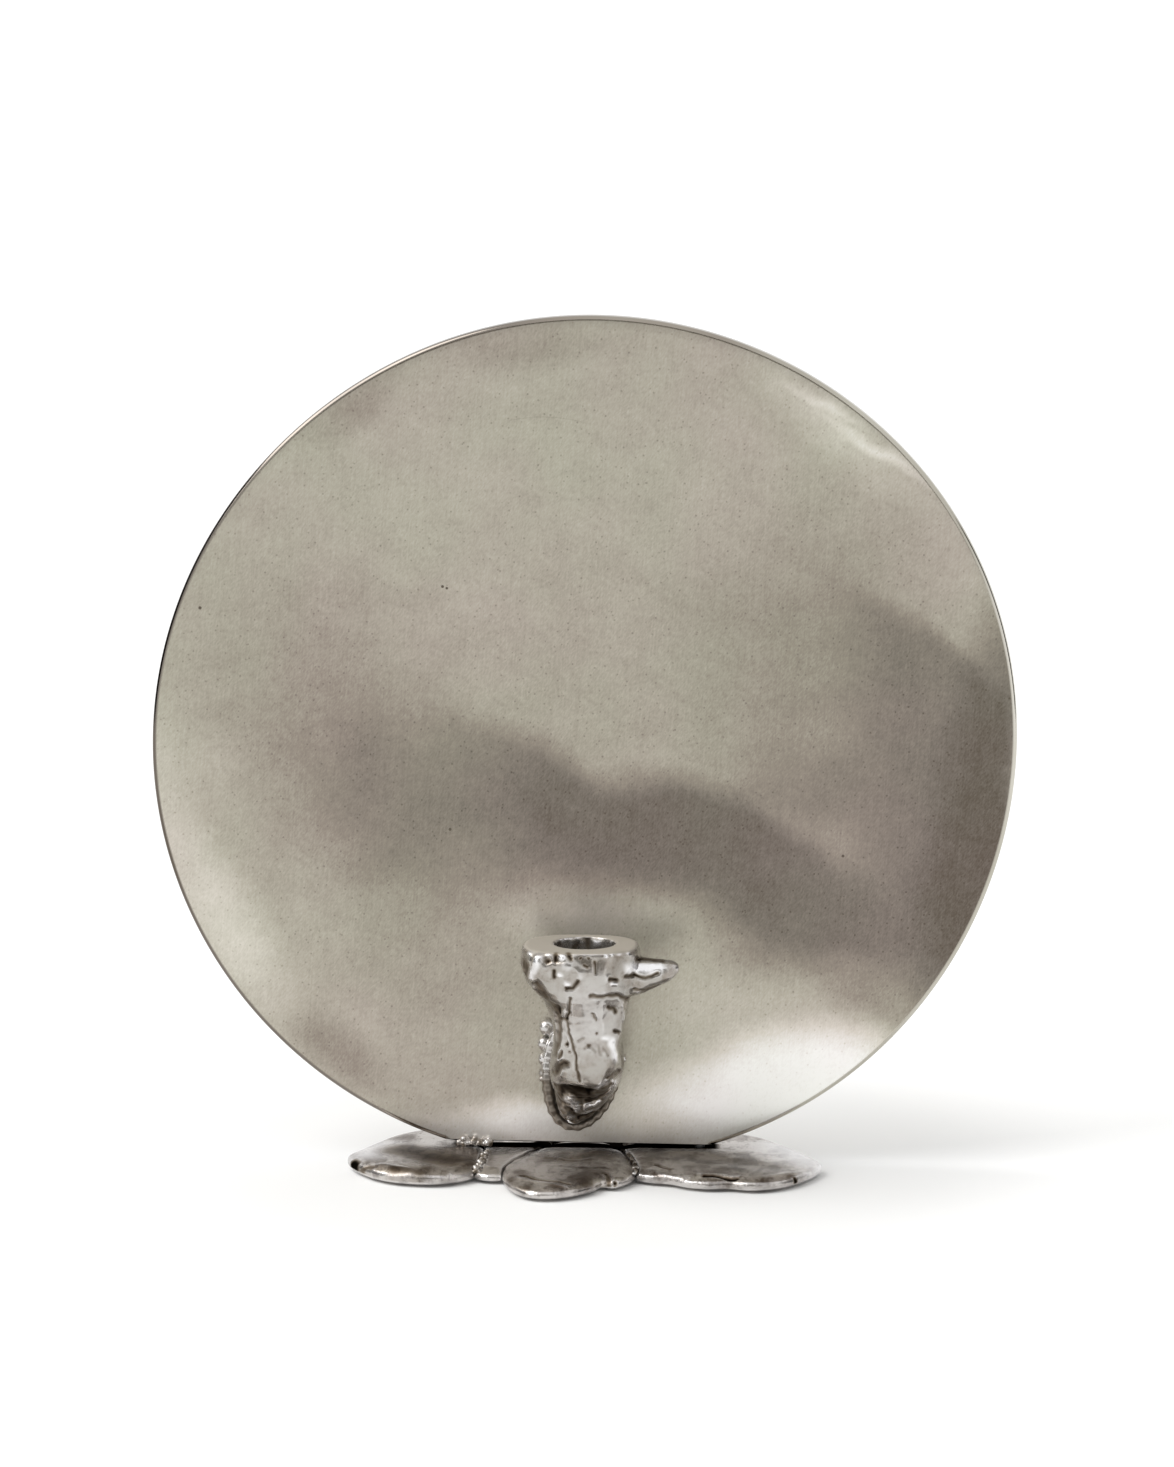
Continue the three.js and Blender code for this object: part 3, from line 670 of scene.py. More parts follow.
def rimPoint(angle):
    swells = (swell * math.cos(waves * (angle - math.radians(turn)))
              for waves, swell, turn in discSettings["swells"])
    radius = discSettings["radius"] + sum(swells)
    return np.array((radius * math.cos(angle), radius * math.sin(angle)))


def discOutline(lifts):
    # points round the edge, the way out from each, and how far the edge is rounded there
    ends = []
    for start in discSettings["footAngles"]:
        angle = math.radians(start)
        for _ in range(discSettings["seekSteps"]):
            # a step towards where the rim meets the foot
            x, z = rimPoint(angle)
            angle -= (z - footHeight(x, lifts)) / x
        ends.append(angle)
    rim = [rimPoint(angle) for angle in np.linspace(*ends, discSettings["arcSteps"])]
    cut = np.linspace(rim[-1][0], rim[0][0], discSettings["footSteps"] + 2)[1:-1]
    outline = np.array(rim + [(x, footHeight(x, lifts)) for x in cut])
    outwards = outline / np.linalg.norm(outline, axis=1)[:, None]
    outwards[len(rim):] = (0, -1)
    roll = np.full((len(outline), 1), discSettings["edgeRound"])
    roll[len(rim):] = discSettings["footBevel"]
    return outline, outwards, roll


def discLoops(lifts):
    # loops from near the middle out and over the edge: places, depth, share of rolled edge
    outline, outwards, roll = discOutline(lifts)
    inner, half = outline - outwards * roll, discSettings["thickness"] / 2
    loops = [(inner * share ** discSettings["ringGather"], np.full_like(roll, half), 0.0)
             for share in np.linspace(0, 1, discSettings["rings"])[1:-1]]
    for turn in np.linspace(0, math.pi / 2, discSettings["edgeSteps"]):
        flat = inner + outwards * roll * math.sin(turn)
        depth = half - roll * (1 - math.cos(turn))
        loops.append((flat, depth, min(1, turn * discSettings["edgeBlend"])))
    return loops


def buildDisc():
    low, high = (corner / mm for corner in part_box("reflector_disc"))
    half, footStart = discSettings["thickness"] / 2, discSettings["arcSteps"]
    flush = discOutline((0, 0))[0][:, 0]
    front, back = discLoops(discSettings["footLift"]), discLoops((0, 0))
    count = len(flush)
    verts, edges, gapShade = [np.array([[0, -half, 0]])], [0.0], [0.0]
    for side, row in ((-1, front), (1, back[::-1])):
        for flat, depth, edge in row:
            verts.append(np.c_[flat[:, 0], side * depth, flat[:, 1]])
            edges += [edge] * footStart + [0.0] * (count - footStart)
            gapShade += [0.0] * footStart + [float(edge > discSettings["gapShadeFrom"])] * (count - footStart)
    verts = np.concatenate(verts + [np.array([[0, half, 0]])])
    verts += ((low.x + high.x - flush.min() - flush.max()) / 2, 0, low.z + discSettings["footDrop"])
    faces, last = [], len(verts) - 1
    for i in range(count):
        j = (i + 1) % count
        faces.append((0, 1 + i, 1 + j))
        for start in range(1, last - count, count):
            faces.append((start + i, start + count + i, start + count + j, start + j))
        faces.append((last, last - count + j, last - count + i))
    piece = meshObject("disc", verts * mm, faces, nickelDisc)
    writeValue(piece.data, "edge", np.array(edges + [0.0]))
    writeValue(piece.data, "gapShade", np.array(gapShade + [0.0]))
    finishPiece(piece, "satin_nickel", "reflector_disc")


buildDisc()


# Cast pieces: a copy of each solid is remeshed finely, smoothed like worn casting, and worked over at given
# places

# a vertex this deep under the surface around it is in a crease, and one this far over it is a high spot
wear = {"rounds": 10, "deep": (0.05, 0.4), "high": (0.05, 0.4), "crease": 0.35, "shine": 0.6}
weldGap = 0.01


def copySolid(name, node):
    piece = addObject(name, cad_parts[node].data.copy())
    weld = piece.modifiers.new("weld", "WELD")
    weld.merge_threshold = weldGap * mm
    return piece


def fuse(piece, voxel, smoothing, metal):
    remesh = piece.modifiers.new("remesh", "REMESH")
    remesh.mode = "VOXEL"
    remesh.voxel_size = voxel * mm
    smooth = piece.modifiers.new("smooth", "SMOOTH")
    smooth.iterations = smoothing
    bakeModifiers(piece, metal)


def findWear(mesh, places):
    # the dirt in creases and the shine on high spots
    hollow = readHollows(mesh, places, readNormals(mesh), wear["rounds"])
    dirt = wear["crease"] * smoothStep(*wear["deep"], hollow)
    return dirt, wear["shine"] * smoothStep(*wear["high"], -hollow)


def strokeMask(flat, line, width):
    # 1 on a drawn line or point, falling to 0 at its width
    line = np.array(line, float).reshape(-1, 2)
    nearest = np.linalg.norm(flat - line[0], axis=1)
    for start, end in zip(line, line[1:]):
        along = end - start
        share = np.clip((flat - start) @ along / (along @ along), 0, 1)
        nearest = np.minimum(nearest, np.linalg.norm(flat - start - share[:, None] * along, axis=1))
    return smoothStep(0, 1, 1 - nearest / width)


def stroke(line, width, height=0, grimeAndShade=0, polishAndHighlight=0, push=0):
    # a line or a point worked by hand. A positive height raises metal and a negative one sinks it, along the
    # surface's own normal, and a push brings it straight forward. Grime and shade darkens with grime and
    # painted shade, and less than none lightens; polish and highlight paints polish and painted highlights.
    return {"line": line, "width": width, "height": height, "grimeAndShade": grimeAndShade, "polishAndHighlight": polishAndHighlight, "push": push}


def layStrokes(strokes, flat, layers, share=1):
    # adds each stroke's height, grime and painted shade, polish and painted highlight, and push to the
    # layers that are asked for
    for each in strokes:
        mask = strokeMask(flat, each["line"], each["width"]) * share
        for name, layer in layers.items():
            layer += each[name] * mask


def wavered(flat, places, waver):
    # drawn lines waver as a hand-worked edge does
    sideways = [noiseField(places, waver["size"], waver["seed"] + axis) for axis in (0, 1)]
    return flat + waver["reach"] * np.stack(sideways, axis=1)


# The arm is worked over in the front view: places are across and up on the upright plane through its face
armWork = {
    "voxel": 0.45, "smoothing": 12, "plane": -40, "waver": {"size": 2.4, "reach": 0.5, "seed": 31},
    "grain": [(9, 0.3, 1), (3.4, 0.08, 2), (1.4, 0.02, 8)],
    # places where the casting was left lumpy
    "rough": [
        {"line": [(-17, 86), (-17, 78)], "width": 7, "size": 5, "height": 1.0, "seed": 3},
        {"line": [(-8, 84), (0, 80), (-4, 76)], "width": 7, "size": 5.5, "height": 0.9, "seed": 4},
        {"line": [(22, 76), (34, 81)], "width": 5, "size": 3.4, "height": 0.45, "seed": 6},
        {"line": [(-7, 28), (2, 26), (9, 30)], "width": 12, "size": 2.6, "height": 0.5, "seed": 7},
    ],
    # strokes reach only what faces the camera by this much, and leave out the filed top
    "facing": (0.02, 0.25), "flatTop": {"above": 88.4, "upright": (0.6, 0.9)},
    # painted shade under the arm: a brown darkening below this height
    "shadeUnderArm": {"below": 36, "blend": 2.5, "amount": 0.28, "waver": 0.25, "size": 3, "seed": 9},
    # the drill left the socket's wall rough
    "bore": {"at": (2.4, -40.1), "radius": 11.6, "inward": 5, "size": 2.6, "chatter": 0.35, "dirt": 0.3,
             "dirtRange": (0, -0.5), "shine": (0.1, 0.5), "seed": 21},
}
# Grime in these strokes paints shade and dark reflections in hollows and folds, besides the real scrapes and
# the mould seam, and polish paints highlights on lumps and ridges
armStrokes = [
    # head, left
    stroke([(-20.6, 83.7), (-18.8, 78)], 2.6, -0.5, grimeAndShade=0.55),
    stroke([(-20.4, 80.6)], 1.4, 0.5, polishAndHighlight=1.2),
    stroke([(-14.1, 85.8), (-17, 79)], 2.8, 0.8, polishAndHighlight=0.5),
    stroke([(-17.2, 87)], 1.8, 0.5, polishAndHighlight=1),
    stroke([(-17.5, 76.9)], 2.8, 0.6),
    stroke([(-11.3, 84.2)], 2.2, -0.9, grimeAndShade=0.5),
    stroke([(-10.8, 87)], 1.5, 0.4, polishAndHighlight=0.8),
    stroke([(-8, 86.4), (-8.2, 84.4)], 1.8, -0.8, grimeAndShade=0.5),
    stroke([(-5.9, 85.7)], 2.1, 0.9, polishAndHighlight=0.9),
    stroke([(-3.4, 86.6), (-2.6, 84.8)], 1.5, -0.7, grimeAndShade=0.44),
    stroke([(-3.4, 82.1)], 4.2, 0.9),
    stroke([(0.3, 76.6), (-2.1, 73.9), (-4.2, 73.6)], 1.4, -0.6, grimeAndShade=0.39),
    stroke([(-6.4, 79)], 1.6, 0.5, polishAndHighlight=0.8),
    stroke([(-8.9, 80.4), (-8.8, 78)], 1.4, -0.6, grimeAndShade=0.39),
    stroke([(-4.1, 75.5)], 2, 0.5, polishAndHighlight=0.6),
    stroke([(-13.6, 79.5)], 5, 0.6),
    stroke([(-15.2, 75.8), (-11, 69), (-6.8, 65)], 2.2, -0.4, grimeAndShade=0.35),
    # head, middle and right
    stroke([(3, 79.6)], 5, 0.5),
    stroke([(9, 77.6)], 4.5, 0.4),
    stroke([(1, 85.2)], 1.1, -0.4, grimeAndShade=0.39),
    stroke([(3.8, 85.4)], 1.1, -0.4, grimeAndShade=0.33),
    stroke([(2.3, 82.7), (3.6, 82.2)], 1, -0.35, grimeAndShade=0.28),
    stroke([(6.1, 84.2), (6.4, 79.6)], 1, -0.4, grimeAndShade=0.22),
    stroke([(10.2, 86.3)], 1.2, 0.4, polishAndHighlight=0.7),
    stroke([(12.8, 86.9)], 1.2, 0.45, polishAndHighlight=0.8),
    stroke([(15.4, 87.6)], 1.4, 0.4, polishAndHighlight=0.8),
    stroke([(18.4, 88)], 1.2, 0.4, polishAndHighlight=0.7),
    stroke([(16, 85.4), (13.6, 80.2)], 4.2, -1.1, grimeAndShade=0.17),
    stroke([(12, 77.2), (14.4, 77)], 1.5, -0.7, grimeAndShade=0.5),
    stroke([(12.4, 75.6), (14, 75.8)], 1.1, 0.4, polishAndHighlight=0.9),
    # spur
    stroke([(19.4, 81.6), (25, 82), (30, 82)], 3.2, 0.2, polishAndHighlight=1.2),
    stroke([(17.7, 78.5), (21, 79.2), (24.8, 78), (29.4, 80)], 1.2, -0.5, grimeAndShade=0.44),
    stroke([(21.8, 85.2), (26, 85.4), (31.6, 84.8)], 1.1, -0.3, grimeAndShade=0.44),
    stroke([(20.7, 73.8), (24, 73.4), (30, 75.4)], 1, -0.35, grimeAndShade=0.33),
    stroke([(22, 73)], 1.5, 0.4),
    # under the head
    stroke([(4.8, 71.2), (9.4, 70.7), (14.1, 71.6), (17.7, 70.3), (20, 70.8)], 1.4, -0.6, grimeAndShade=0.39),
    stroke([(10, 72.4), (14, 73.4)], 2, 0.3),
    # neck
    stroke([(4, 67), (4, 61)], 18, polishAndHighlight=0.35),
    stroke([(4, 55), (4, 42)], 16, push=2.6),
    stroke([(11.4, 66.9), (13.2, 66.1), (14, 65)], 1.4, -0.6, grimeAndShade=0.44),
    stroke([(5.4, 64.4), (6.6, 62.4)], 1, -0.35, grimeAndShade=0.28),
    stroke([(9.2, 68), (8.8, 63), (9.4, 58)], 1.5, 0.35),
    stroke([(16.1, 68), (16.8, 62.7)], 1.5, 0.4),
    stroke([(19.4, 69), (17.9, 63.7), (16.8, 58.4)], 1.1, -0.4, grimeAndShade=0.28),
    stroke([(13.6, 58.2), (15, 57.6)], 1.1, -0.6, grimeAndShade=0.5),
    stroke([(7.2, 57.8)], 1, -0.35, grimeAndShade=0.33),
    stroke([(9.6, 55.8), (12.5, 55.4)], 1.9, 0.35, polishAndHighlight=0.6),
    stroke([(-5.2, 64.6)], 2.1, 0.6),
    stroke([(-5.8, 62.6), (-4.2, 62.4)], 1, -0.4, grimeAndShade=0.33),
    # long seam left by the mould
    stroke([(-2.9, 70), (-3.1, 65.8), (-4, 62.7), (-3.4, 57.4), (-1.8, 53.2), (-0.6, 49), (-0.3, 43.7),
           (0.8, 39.5)], 1, -0.5, grimeAndShade=0.33),
    stroke([(-8.8, 65.3), (-8, 59.5), (-8.2, 54.2)], 1.4, 0.4),
    stroke([(-7.6, 67), (-6.5, 63.2), (-7.2, 54.8), (-8.8, 49)], 1.4, -0.5, grimeAndShade=0.33),
    stroke([(-4.1, 53.3)], 1.1, -0.6, grimeAndShade=0.55),
    stroke([(-2.9, 50.3)], 1, -0.35, grimeAndShade=0.33),
    # shallow scrapes on the face
    stroke([(0.2, 54.5), (2.3, 55.6)], 0.9, -0.2, grimeAndShade=0.19),
    stroke([(2.3, 52.1), (4.8, 53.2)], 0.9, -0.2, grimeAndShade=0.19),
    stroke([(3.6, 53.4), (6.6, 50.6)], 0.9, -0.2, grimeAndShade=0.17),
    stroke([(7.4, 53.2), (8.4, 49.5)], 0.9, -0.2, grimeAndShade=0.17),
    stroke([(9.4, 52.1), (11.2, 49)], 0.9, -0.25, grimeAndShade=0.19),
    stroke([(-8.5, 42.8), (-6.4, 45.4), (-4.6, 45.6)], 2.6, -1.1, grimeAndShade=0.5),
    stroke([(-7, 48.4), (-6.2, 50)], 1.1, -0.5, grimeAndShade=0.39),
    stroke([(12.5, 53.7), (14.1, 47.4)], 2.1, 0.5, polishAndHighlight=1),
    stroke([(16.1, 53.2), (16.8, 44.8)], 1.1, -0.45, grimeAndShade=0.28),
    # heel and the folds under it, with painted shade in the folds and painted highlights on their ridges
    stroke([(-10.5, 38.2), (-8, 36.9), (-4.4, 36.9), (0.2, 36.6), (4.3, 35), (7.6, 35.8), (11.5, 40.4),
           (15, 43)], 1.8, -0.5, push=-1, grimeAndShade=0.35),
    stroke([(-5, 35.6), (3.6, 35)], 3.4, push=-1.6, grimeAndShade=0.5),
    stroke([(-3.6, 33.4), (-0.6, 29.8)], 2.6, push=3, polishAndHighlight=1.4, grimeAndShade=-0.4),
    stroke([(-11.6, 36), (-8.6, 31), (-4, 27.6)], 2.6, push=3, polishAndHighlight=0.7),
    stroke([(-9.4, 34.6), (-6.6, 30.4)], 1.2, push=-0.8, grimeAndShade=0.4),
    stroke([(0.6, 28.4), (6, 30), (10.6, 33.6), (14, 39)], 2.8, push=3, polishAndHighlight=0.8),
    stroke([(3, 31.6), (8.4, 33.8), (12.4, 38.6)], 1.3, push=-1, grimeAndShade=0.4),
    stroke([(-8, 27), (-2.6, 24.6), (2, 26.4), (8, 28.4), (13.6, 34.4)], 1.4, push=-1, grimeAndShade=0.45),
    stroke([(-10, 28.6), (-5, 23.4), (0, 22.6)], 2.4, push=2.6, polishAndHighlight=0.3),
    stroke([(3, 22.8), (9, 25.6), (14, 31.4)], 2.4, push=2.8, polishAndHighlight=0.6),
    stroke([(-3.4, 26), (-1, 25.2)], 1.3, 0.4, push=1, polishAndHighlight=1.2, grimeAndShade=-0.4),
    stroke([(7.6, 36.6), (10.4, 39.4)], 1.6, push=0.8, polishAndHighlight=1.2, grimeAndShade=-0.5),
    stroke([(2.8, 29.8), (7.8, 32.2)], 1.1, push=0.7, polishAndHighlight=1.2, grimeAndShade=-0.6),
    stroke([(1.6, 27), (9.4, 29.6)], 1, push=0.6, polishAndHighlight=1.2, grimeAndShade=-0.6),
    stroke([(-6.6, 27.6), (-5, 25.6)], 1.1, push=0.6, polishAndHighlight=1.2, grimeAndShade=-0.5),
    stroke([(-3.6, 23.8), (-1.6, 22.8)], 1.3, push=0.8, polishAndHighlight=1.3, grimeAndShade=-0.6),
]


def frontView(places, plane):
    # where the camera sees each place, carried onto an upright plane
    eye = shot["eye"]
    share = (plane - eye[1]) / (places[:, 1] - eye[1])
    seen = eye + (places - eye) * share[:, None]
    return seen[:, [0, 2]]


def workArm():
    piece = copySolid("arm", "candle_arm")
    fuse(piece, armWork["voxel"], armWork["smoothing"], nickelCast)
    mesh = piece.data
    places, normals = readPlaces(mesh), readNormals(mesh)
    flat = wavered(frontView(places, armWork["plane"]), places, armWork["waver"])
    toEye = shot["eye"] - places
    facing = smoothStep(*armWork["facing"], (normals * toEye).sum(1) / np.linalg.norm(toEye, axis=1))
    level = armWork["flatTop"]
    loose = 1 - smoothStep(*level["upright"], normals[:, 2]) * (places[:, 2] > level["above"])
    lift = np.zeros(len(places))
    addLumps(lift, places, armWork["grain"])
    for patch in armWork["rough"]:
        mask = strokeMask(flat, patch["line"], patch["width"])
        near = mask > 0
        mask[near] *= noiseField(places[near], patch["size"], patch["seed"])
        lift += patch["height"] * mask
    shadeUnderArm = armWork["shadeUnderArm"]
    under = smoothStep(shadeUnderArm["below"] + shadeUnderArm["blend"], shadeUnderArm["below"] - shadeUnderArm["blend"], flat[:, 1])
    grimeAndShade = under * (shadeUnderArm["amount"] + shadeUnderArm["waver"] * noiseField(places, shadeUnderArm["size"], shadeUnderArm["seed"]))
    polishAndHighlight, push = np.zeros(len(places)), np.zeros(len(places))
    bore = armWork["bore"]
    inside = np.linalg.norm(places[:, :2] - bore["at"], axis=1) < bore["radius"]
    inside &= ((places[:, :2] - bore["at"]) * normals[:, :2]).sum(1) < -bore["inward"]
    chatter = noiseField(places, bore["size"], bore["seed"]) * inside
    lift += bore["chatter"] * chatter
    polishAndHighlight += smoothStep(*bore["shine"], chatter)
    grimeAndShade += bore["dirt"] * smoothStep(*bore["dirtRange"], chatter)
    layers = {"height": lift, "push": push, "grimeAndShade": grimeAndShade, "polishAndHighlight": polishAndHighlight}
    layStrokes(armStrokes, flat, layers, facing)
    top = places[:, 2].max()
    places += normals * (lift * loose)[:, None]
    places[:, 1] -= push
    places[:, 2] = np.minimum(places[:, 2], top)
    writePlaces(mesh, places)
    dirt, shine = findWear(mesh, places)
    writeValue(mesh, "grimeAndShade", grimeAndShade + dirt * loose)
    writeValue(mesh, "polishAndHighlight", polishAndHighlight + shine)
    writeValue(mesh, "satin", 1 - loose)
    finishPiece(piece, "polished_nickel", "candle_arm")


workArm()


# Base pads are worked over from above: places are across and back. The slot is the dark line under the disc,
# painted shade on the pads' tops in the gap under its foot.
padWork = {
    "smoothing": 8, "waver": {"size": 5, "reach": 1.2, "seed": 41},
    "swell": [(34, 0.3, 11), (12, 0.14, 12), (4.5, 0.045, 13)],
    "lip": {"size": 6, "height": 0.22, "seed": 14, "slope": (0.02, 0.3)},
    "slot": {"half": 4.2, "edge": 0.7, "left": -48, "right": 50, "ends": 2},
    # the work reaches the upper side and stains and painted shade run a little way down, under the disc the
    # top stays where the solid's is, and nothing rises more than this over it
    "upper": (-0.1, 0.5), "stainAndShadeDown": -0.3, "clear": (3.5, 9), "rise": 0.6,
}


def workPad(name, node, voxel, strokes):
    piece = copySolid(name, node)
    fuse(piece, voxel, padWork["smoothing"], nickelPoured)
    mesh = piece.data
    places, normals = readPlaces(mesh), readNormals(mesh)
    low, high = (np.array(corner / mm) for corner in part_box(node))
    flat = wavered(places[:, :2], places, padWork["waver"])
    upper = smoothStep(*padWork["upper"], normals[:, 2])
    lift, stainAndShade, rubbedAndHighlight = (np.zeros(len(places)) for _ in range(3))
    addLumps(lift, places, padWork["swell"])
    lip, slot = padWork["lip"], padWork["slot"]
    sloping = smoothStep(*lip["slope"], 1 - normals[:, 2]) * upper
    lift += lip["height"] * sloping * noiseField(places, lip["size"], lip["seed"])
    # painted shade along the slot under the disc's foot
    grimeAndShade = 1 - smoothStep(slot["half"] - slot["edge"], slot["half"] + slot["edge"], np.abs(places[:, 1]))
    grimeAndShade *= smoothStep(slot["left"] - slot["ends"], slot["left"] + slot["ends"], places[:, 0])
    grimeAndShade *= 1 - smoothStep(slot["right"] - slot["ends"], slot["right"] + slot["ends"], places[:, 0])
    layStrokes(strokes, flat, {"height": lift, "grimeAndShade": stainAndShade, "polishAndHighlight": rubbedAndHighlight})
    places[:, 2] += lift * upper * smoothStep(*padWork["clear"], np.abs(places[:, 1]))
    places[:, 2] = np.clip(places[:, 2], low[2], high[2] + padWork["rise"])
    writePlaces(mesh, places)
    dirt, shine = findWear(mesh, places)
    writeValue(mesh, "grimeAndShade", (grimeAndShade + dirt) * upper + stainAndShade * (normals[:, 2] > padWork["stainAndShadeDown"]))
    writeValue(mesh, "polishAndHighlight", rubbedAndHighlight + shine)
    finishPiece(piece, "polished_nickel", node)


# In the pads' strokes, grime paints stains, pits and dark mottling, and shade in the gap under the disc's
# foot
workPad("padLeft", "base_left_pad", 0.5, [
    stroke([(-84.6, -27.6), (-83.6, -30.6)], 3.2, -0.8, grimeAndShade=1.6),
    stroke([(-66, -14), (-56, -24), (-46, -30)], 16, -0.2, grimeAndShade=0.6),
    stroke([(-74, -37), (-62, -46)], 4, 0.7),
    stroke([(-60, -47), (-50, -49)], 3, 0.4),
    stroke([(-82, -32.5), (-76, -38)], 1.6, -0.4, grimeAndShade=0.5),
    stroke([(-47, -44), (-40, -30)], 3, 0.5),
    stroke([(-67, -43.5), (-58, -46)], 5, grimeAndShade=0.45),
    # a painted highlight across the back of the pad
    stroke([(-76, -6), (-80, -20)], 14, polishAndHighlight=0.6),
])
workPad("padRight", "base_right_pad", 0.5, [
    stroke([(26, -37), (33, -42), (41, -46)], 2.4, 0.6),
    stroke([(28, -30), (34, -36)], 2, -0.5, grimeAndShade=0.4),
    stroke([(30, -46), (44, -50)], 1.6, 0.5),
    stroke([(47, -45.5), (53, -46.8), (59, -47.8)], 1.5, -0.7, grimeAndShade=0.7),
    stroke([(44, -44), (60, -46)], 1.8, 0.5),
    stroke([(80, -42)], 1.4, -0.8, grimeAndShade=1),
    stroke([(77, -47)], 1.3, -0.8, grimeAndShade=1),
    stroke([(70, -47), (86, -34)], 3, 0.5),
    stroke([(38, -16), (60, -28), (72, -33)], 9, -0.35),
    # a paler painted patch of reflection at the far end
    stroke([(78, 2), (84, -22)], 22, polishAndHighlight=0.7),
    stroke([(44, -14), (66, -34)], 26, grimeAndShade=0.22),
    stroke([(29, -20), (33, -8)], 9, grimeAndShade=0.1),
])
workPad("padFront", "base_front_pad", 0.45, [
    stroke([(-27, -31), (-24, -17), (-18, -5)], 2.4, 0.6),
    stroke([(-22, -52), (-14, -60), (-4, -63)], 1.6, 0.5),
    stroke([(-20, -49), (-12, -56), (-2, -59)], 1.5, -0.5, grimeAndShade=0.5),
    stroke([(12, -52), (10, -44)], 1.8, -0.5, grimeAndShade=0.5),
    stroke([(14, -50)], 1.1, -0.8, grimeAndShade=1),
    stroke([(-12, -20), (-4, -24), (4, -22)], 2.5, 0.3),
    stroke([(-4, -22), (6, -12)], 12, -0.1, grimeAndShade=0.35),
    stroke([(-6, -34), (10, -36)], 2.5, -0.35),
    stroke([(-19, -22)], 1.2, 0.5),
    stroke([(-17, -14)], 1, 0.5),
])
workPad("padBridge", "base_left_bridge", 0.45, [
    stroke([(-38, -30), (-33, -36)], 3, 0.7),
    stroke([(-36, -8), (-38, -3)], 2.4, 0.7),
    # painted shade in the gap under the disc's foot
    stroke([(-17, 3.6), (-12, 7)], 4.4, grimeAndShade=1.6),
])
workPad("padRear", "base_rear_pad", 0.6, [
    stroke([(-30, 45), (-5, 55), (20, 52)], 6, 0.4),
    stroke([(12, 30), (25, 24)], 4, -0.4),
    # painted shade behind the disc's foot, seen through the gap
    stroke([(-14, 9), (-10, 8)], 4, grimeAndShade=1.4),
    stroke([(8, 7.4), (16, 7)], 4.4, grimeAndShade=1.6),
])


# Braze: lumps of random size grow out of each bead, and all is fused

brazeWork = {
    "voxel": 0.25, "smoothing": 9, "lumpDetail": 3, "drops": (),
    # low down, lumps shrink to this share and sink into the bead, and the bead is darkened there
    "flatBelow": 0, "lowDrop": 5, "lowLump": 0.33, "shrink": (-5, 3), "lowBlend": 4, "lowDarkening": 0.3,
    "dirtSize": 2.2, "dirtRange": (-0.5, 0.5), "polishAndHighlight": 0.4,
    # lumps are tried this thickly, to the square metre, and those nearer than the spacing are left out
    "density": 1e7,
}


def newGeometryTree(name, sizes):
    # an empty tree with a mesh input, named sizes, a seed and a material
    tree = bpy.data.node_groups.new(name, "GeometryNodeTree")
    sockets = [("Mesh", "Geometry")] + [(size, "Float") for size in sizes]
    for label, kind in sockets + [("Seed", "Int"), ("Material", "Material")]:
        tree.interface.new_socket(label, in_out="INPUT", socket_type="NodeSocket" + kind)
    tree.interface.new_socket("Mesh", in_out="OUTPUT", socket_type="NodeSocketGeometry")
    return tree, addNode(tree, "NodeGroupInput").outputs


def useTree(piece, tree, values):
    modifier = piece.modifiers.new(tree.name, "NODES")
    modifier.node_group = tree
    for item in tree.interface.items_tree:
        if item.in_out == "INPUT" and item.name in values:
            modifier[item.identifier] = values[item.name]


def lumpTree():
    tree, given = newGeometryTree("brazeLumps", ("Spacing", "Smallest", "Largest", "Flat Below"))
    points = addNode(tree, "GeometryNodeDistributePointsOnFaces", {"distribute_method": "POISSON"}, {
        "Mesh": given["Mesh"], "Distance Min": given["Spacing"], "Density Max": brazeWork["density"],
        "Seed": given["Seed"]})
    size = addNode(tree, "FunctionNodeRandomValue", {"data_type": "FLOAT"},
                   {2: given["Smallest"], 3: given["Largest"], 8: given["Seed"]})
    place = addNode(tree, "GeometryNodeInputPosition")
    height = addNode(tree, "ShaderNodeSeparateXYZ", None, {0: place.outputs[0]})
    over = addMath(tree, "SUBTRACT", height.outputs["Z"], given["Flat Below"])
    low, high = brazeWork["shrink"]
    share = addMapRange(tree, over, low * mm, high * mm, brazeWork["lowLump"], 1.0)
    scale = addMath(tree, "MULTIPLY", size.outputs[1], share)
    lump = addNode(tree, "GeometryNodeMeshIcoSphere", None,
                   {"Radius": 1.0, "Subdivisions": brazeWork["lumpDetail"]})
    lumps = addNode(tree, "GeometryNodeInstanceOnPoints", None, {
        "Points": points.outputs["Points"], "Instance": lump.outputs["Mesh"], "Scale": scale})
    both = addNode(tree, "GeometryNodeJoinGeometry", None, {0: lumps.outputs[0]})
    tree.links.new(given["Mesh"], both.inputs[0])
    real = addNode(tree, "GeometryNodeRealizeInstances", None, {0: both.outputs[0]})
    metal = addNode(tree, "GeometryNodeSetMaterial", None,
                    {"Geometry": real.outputs[0], "Material": given["Material"]})
    addNode(tree, "NodeGroupOutput", None, {0: metal.outputs[0]})
    return tree


def addDrops(mesh, bead):
    front = -discSettings["thickness"] / 2
    whole = bmesh.new()
    whole.from_mesh(mesh)
    for x, z, radius in bead["drops"]:
        middle = Matrix.Translation(Vector((x, front - bead["dropOut"] * radius, z)) * mm)
        bmesh.ops.create_icosphere(
            whole, subdivisions=bead["lumpDetail"], radius=radius * mm, matrix=middle)
    whole.to_mesh(mesh)
    whole.free()


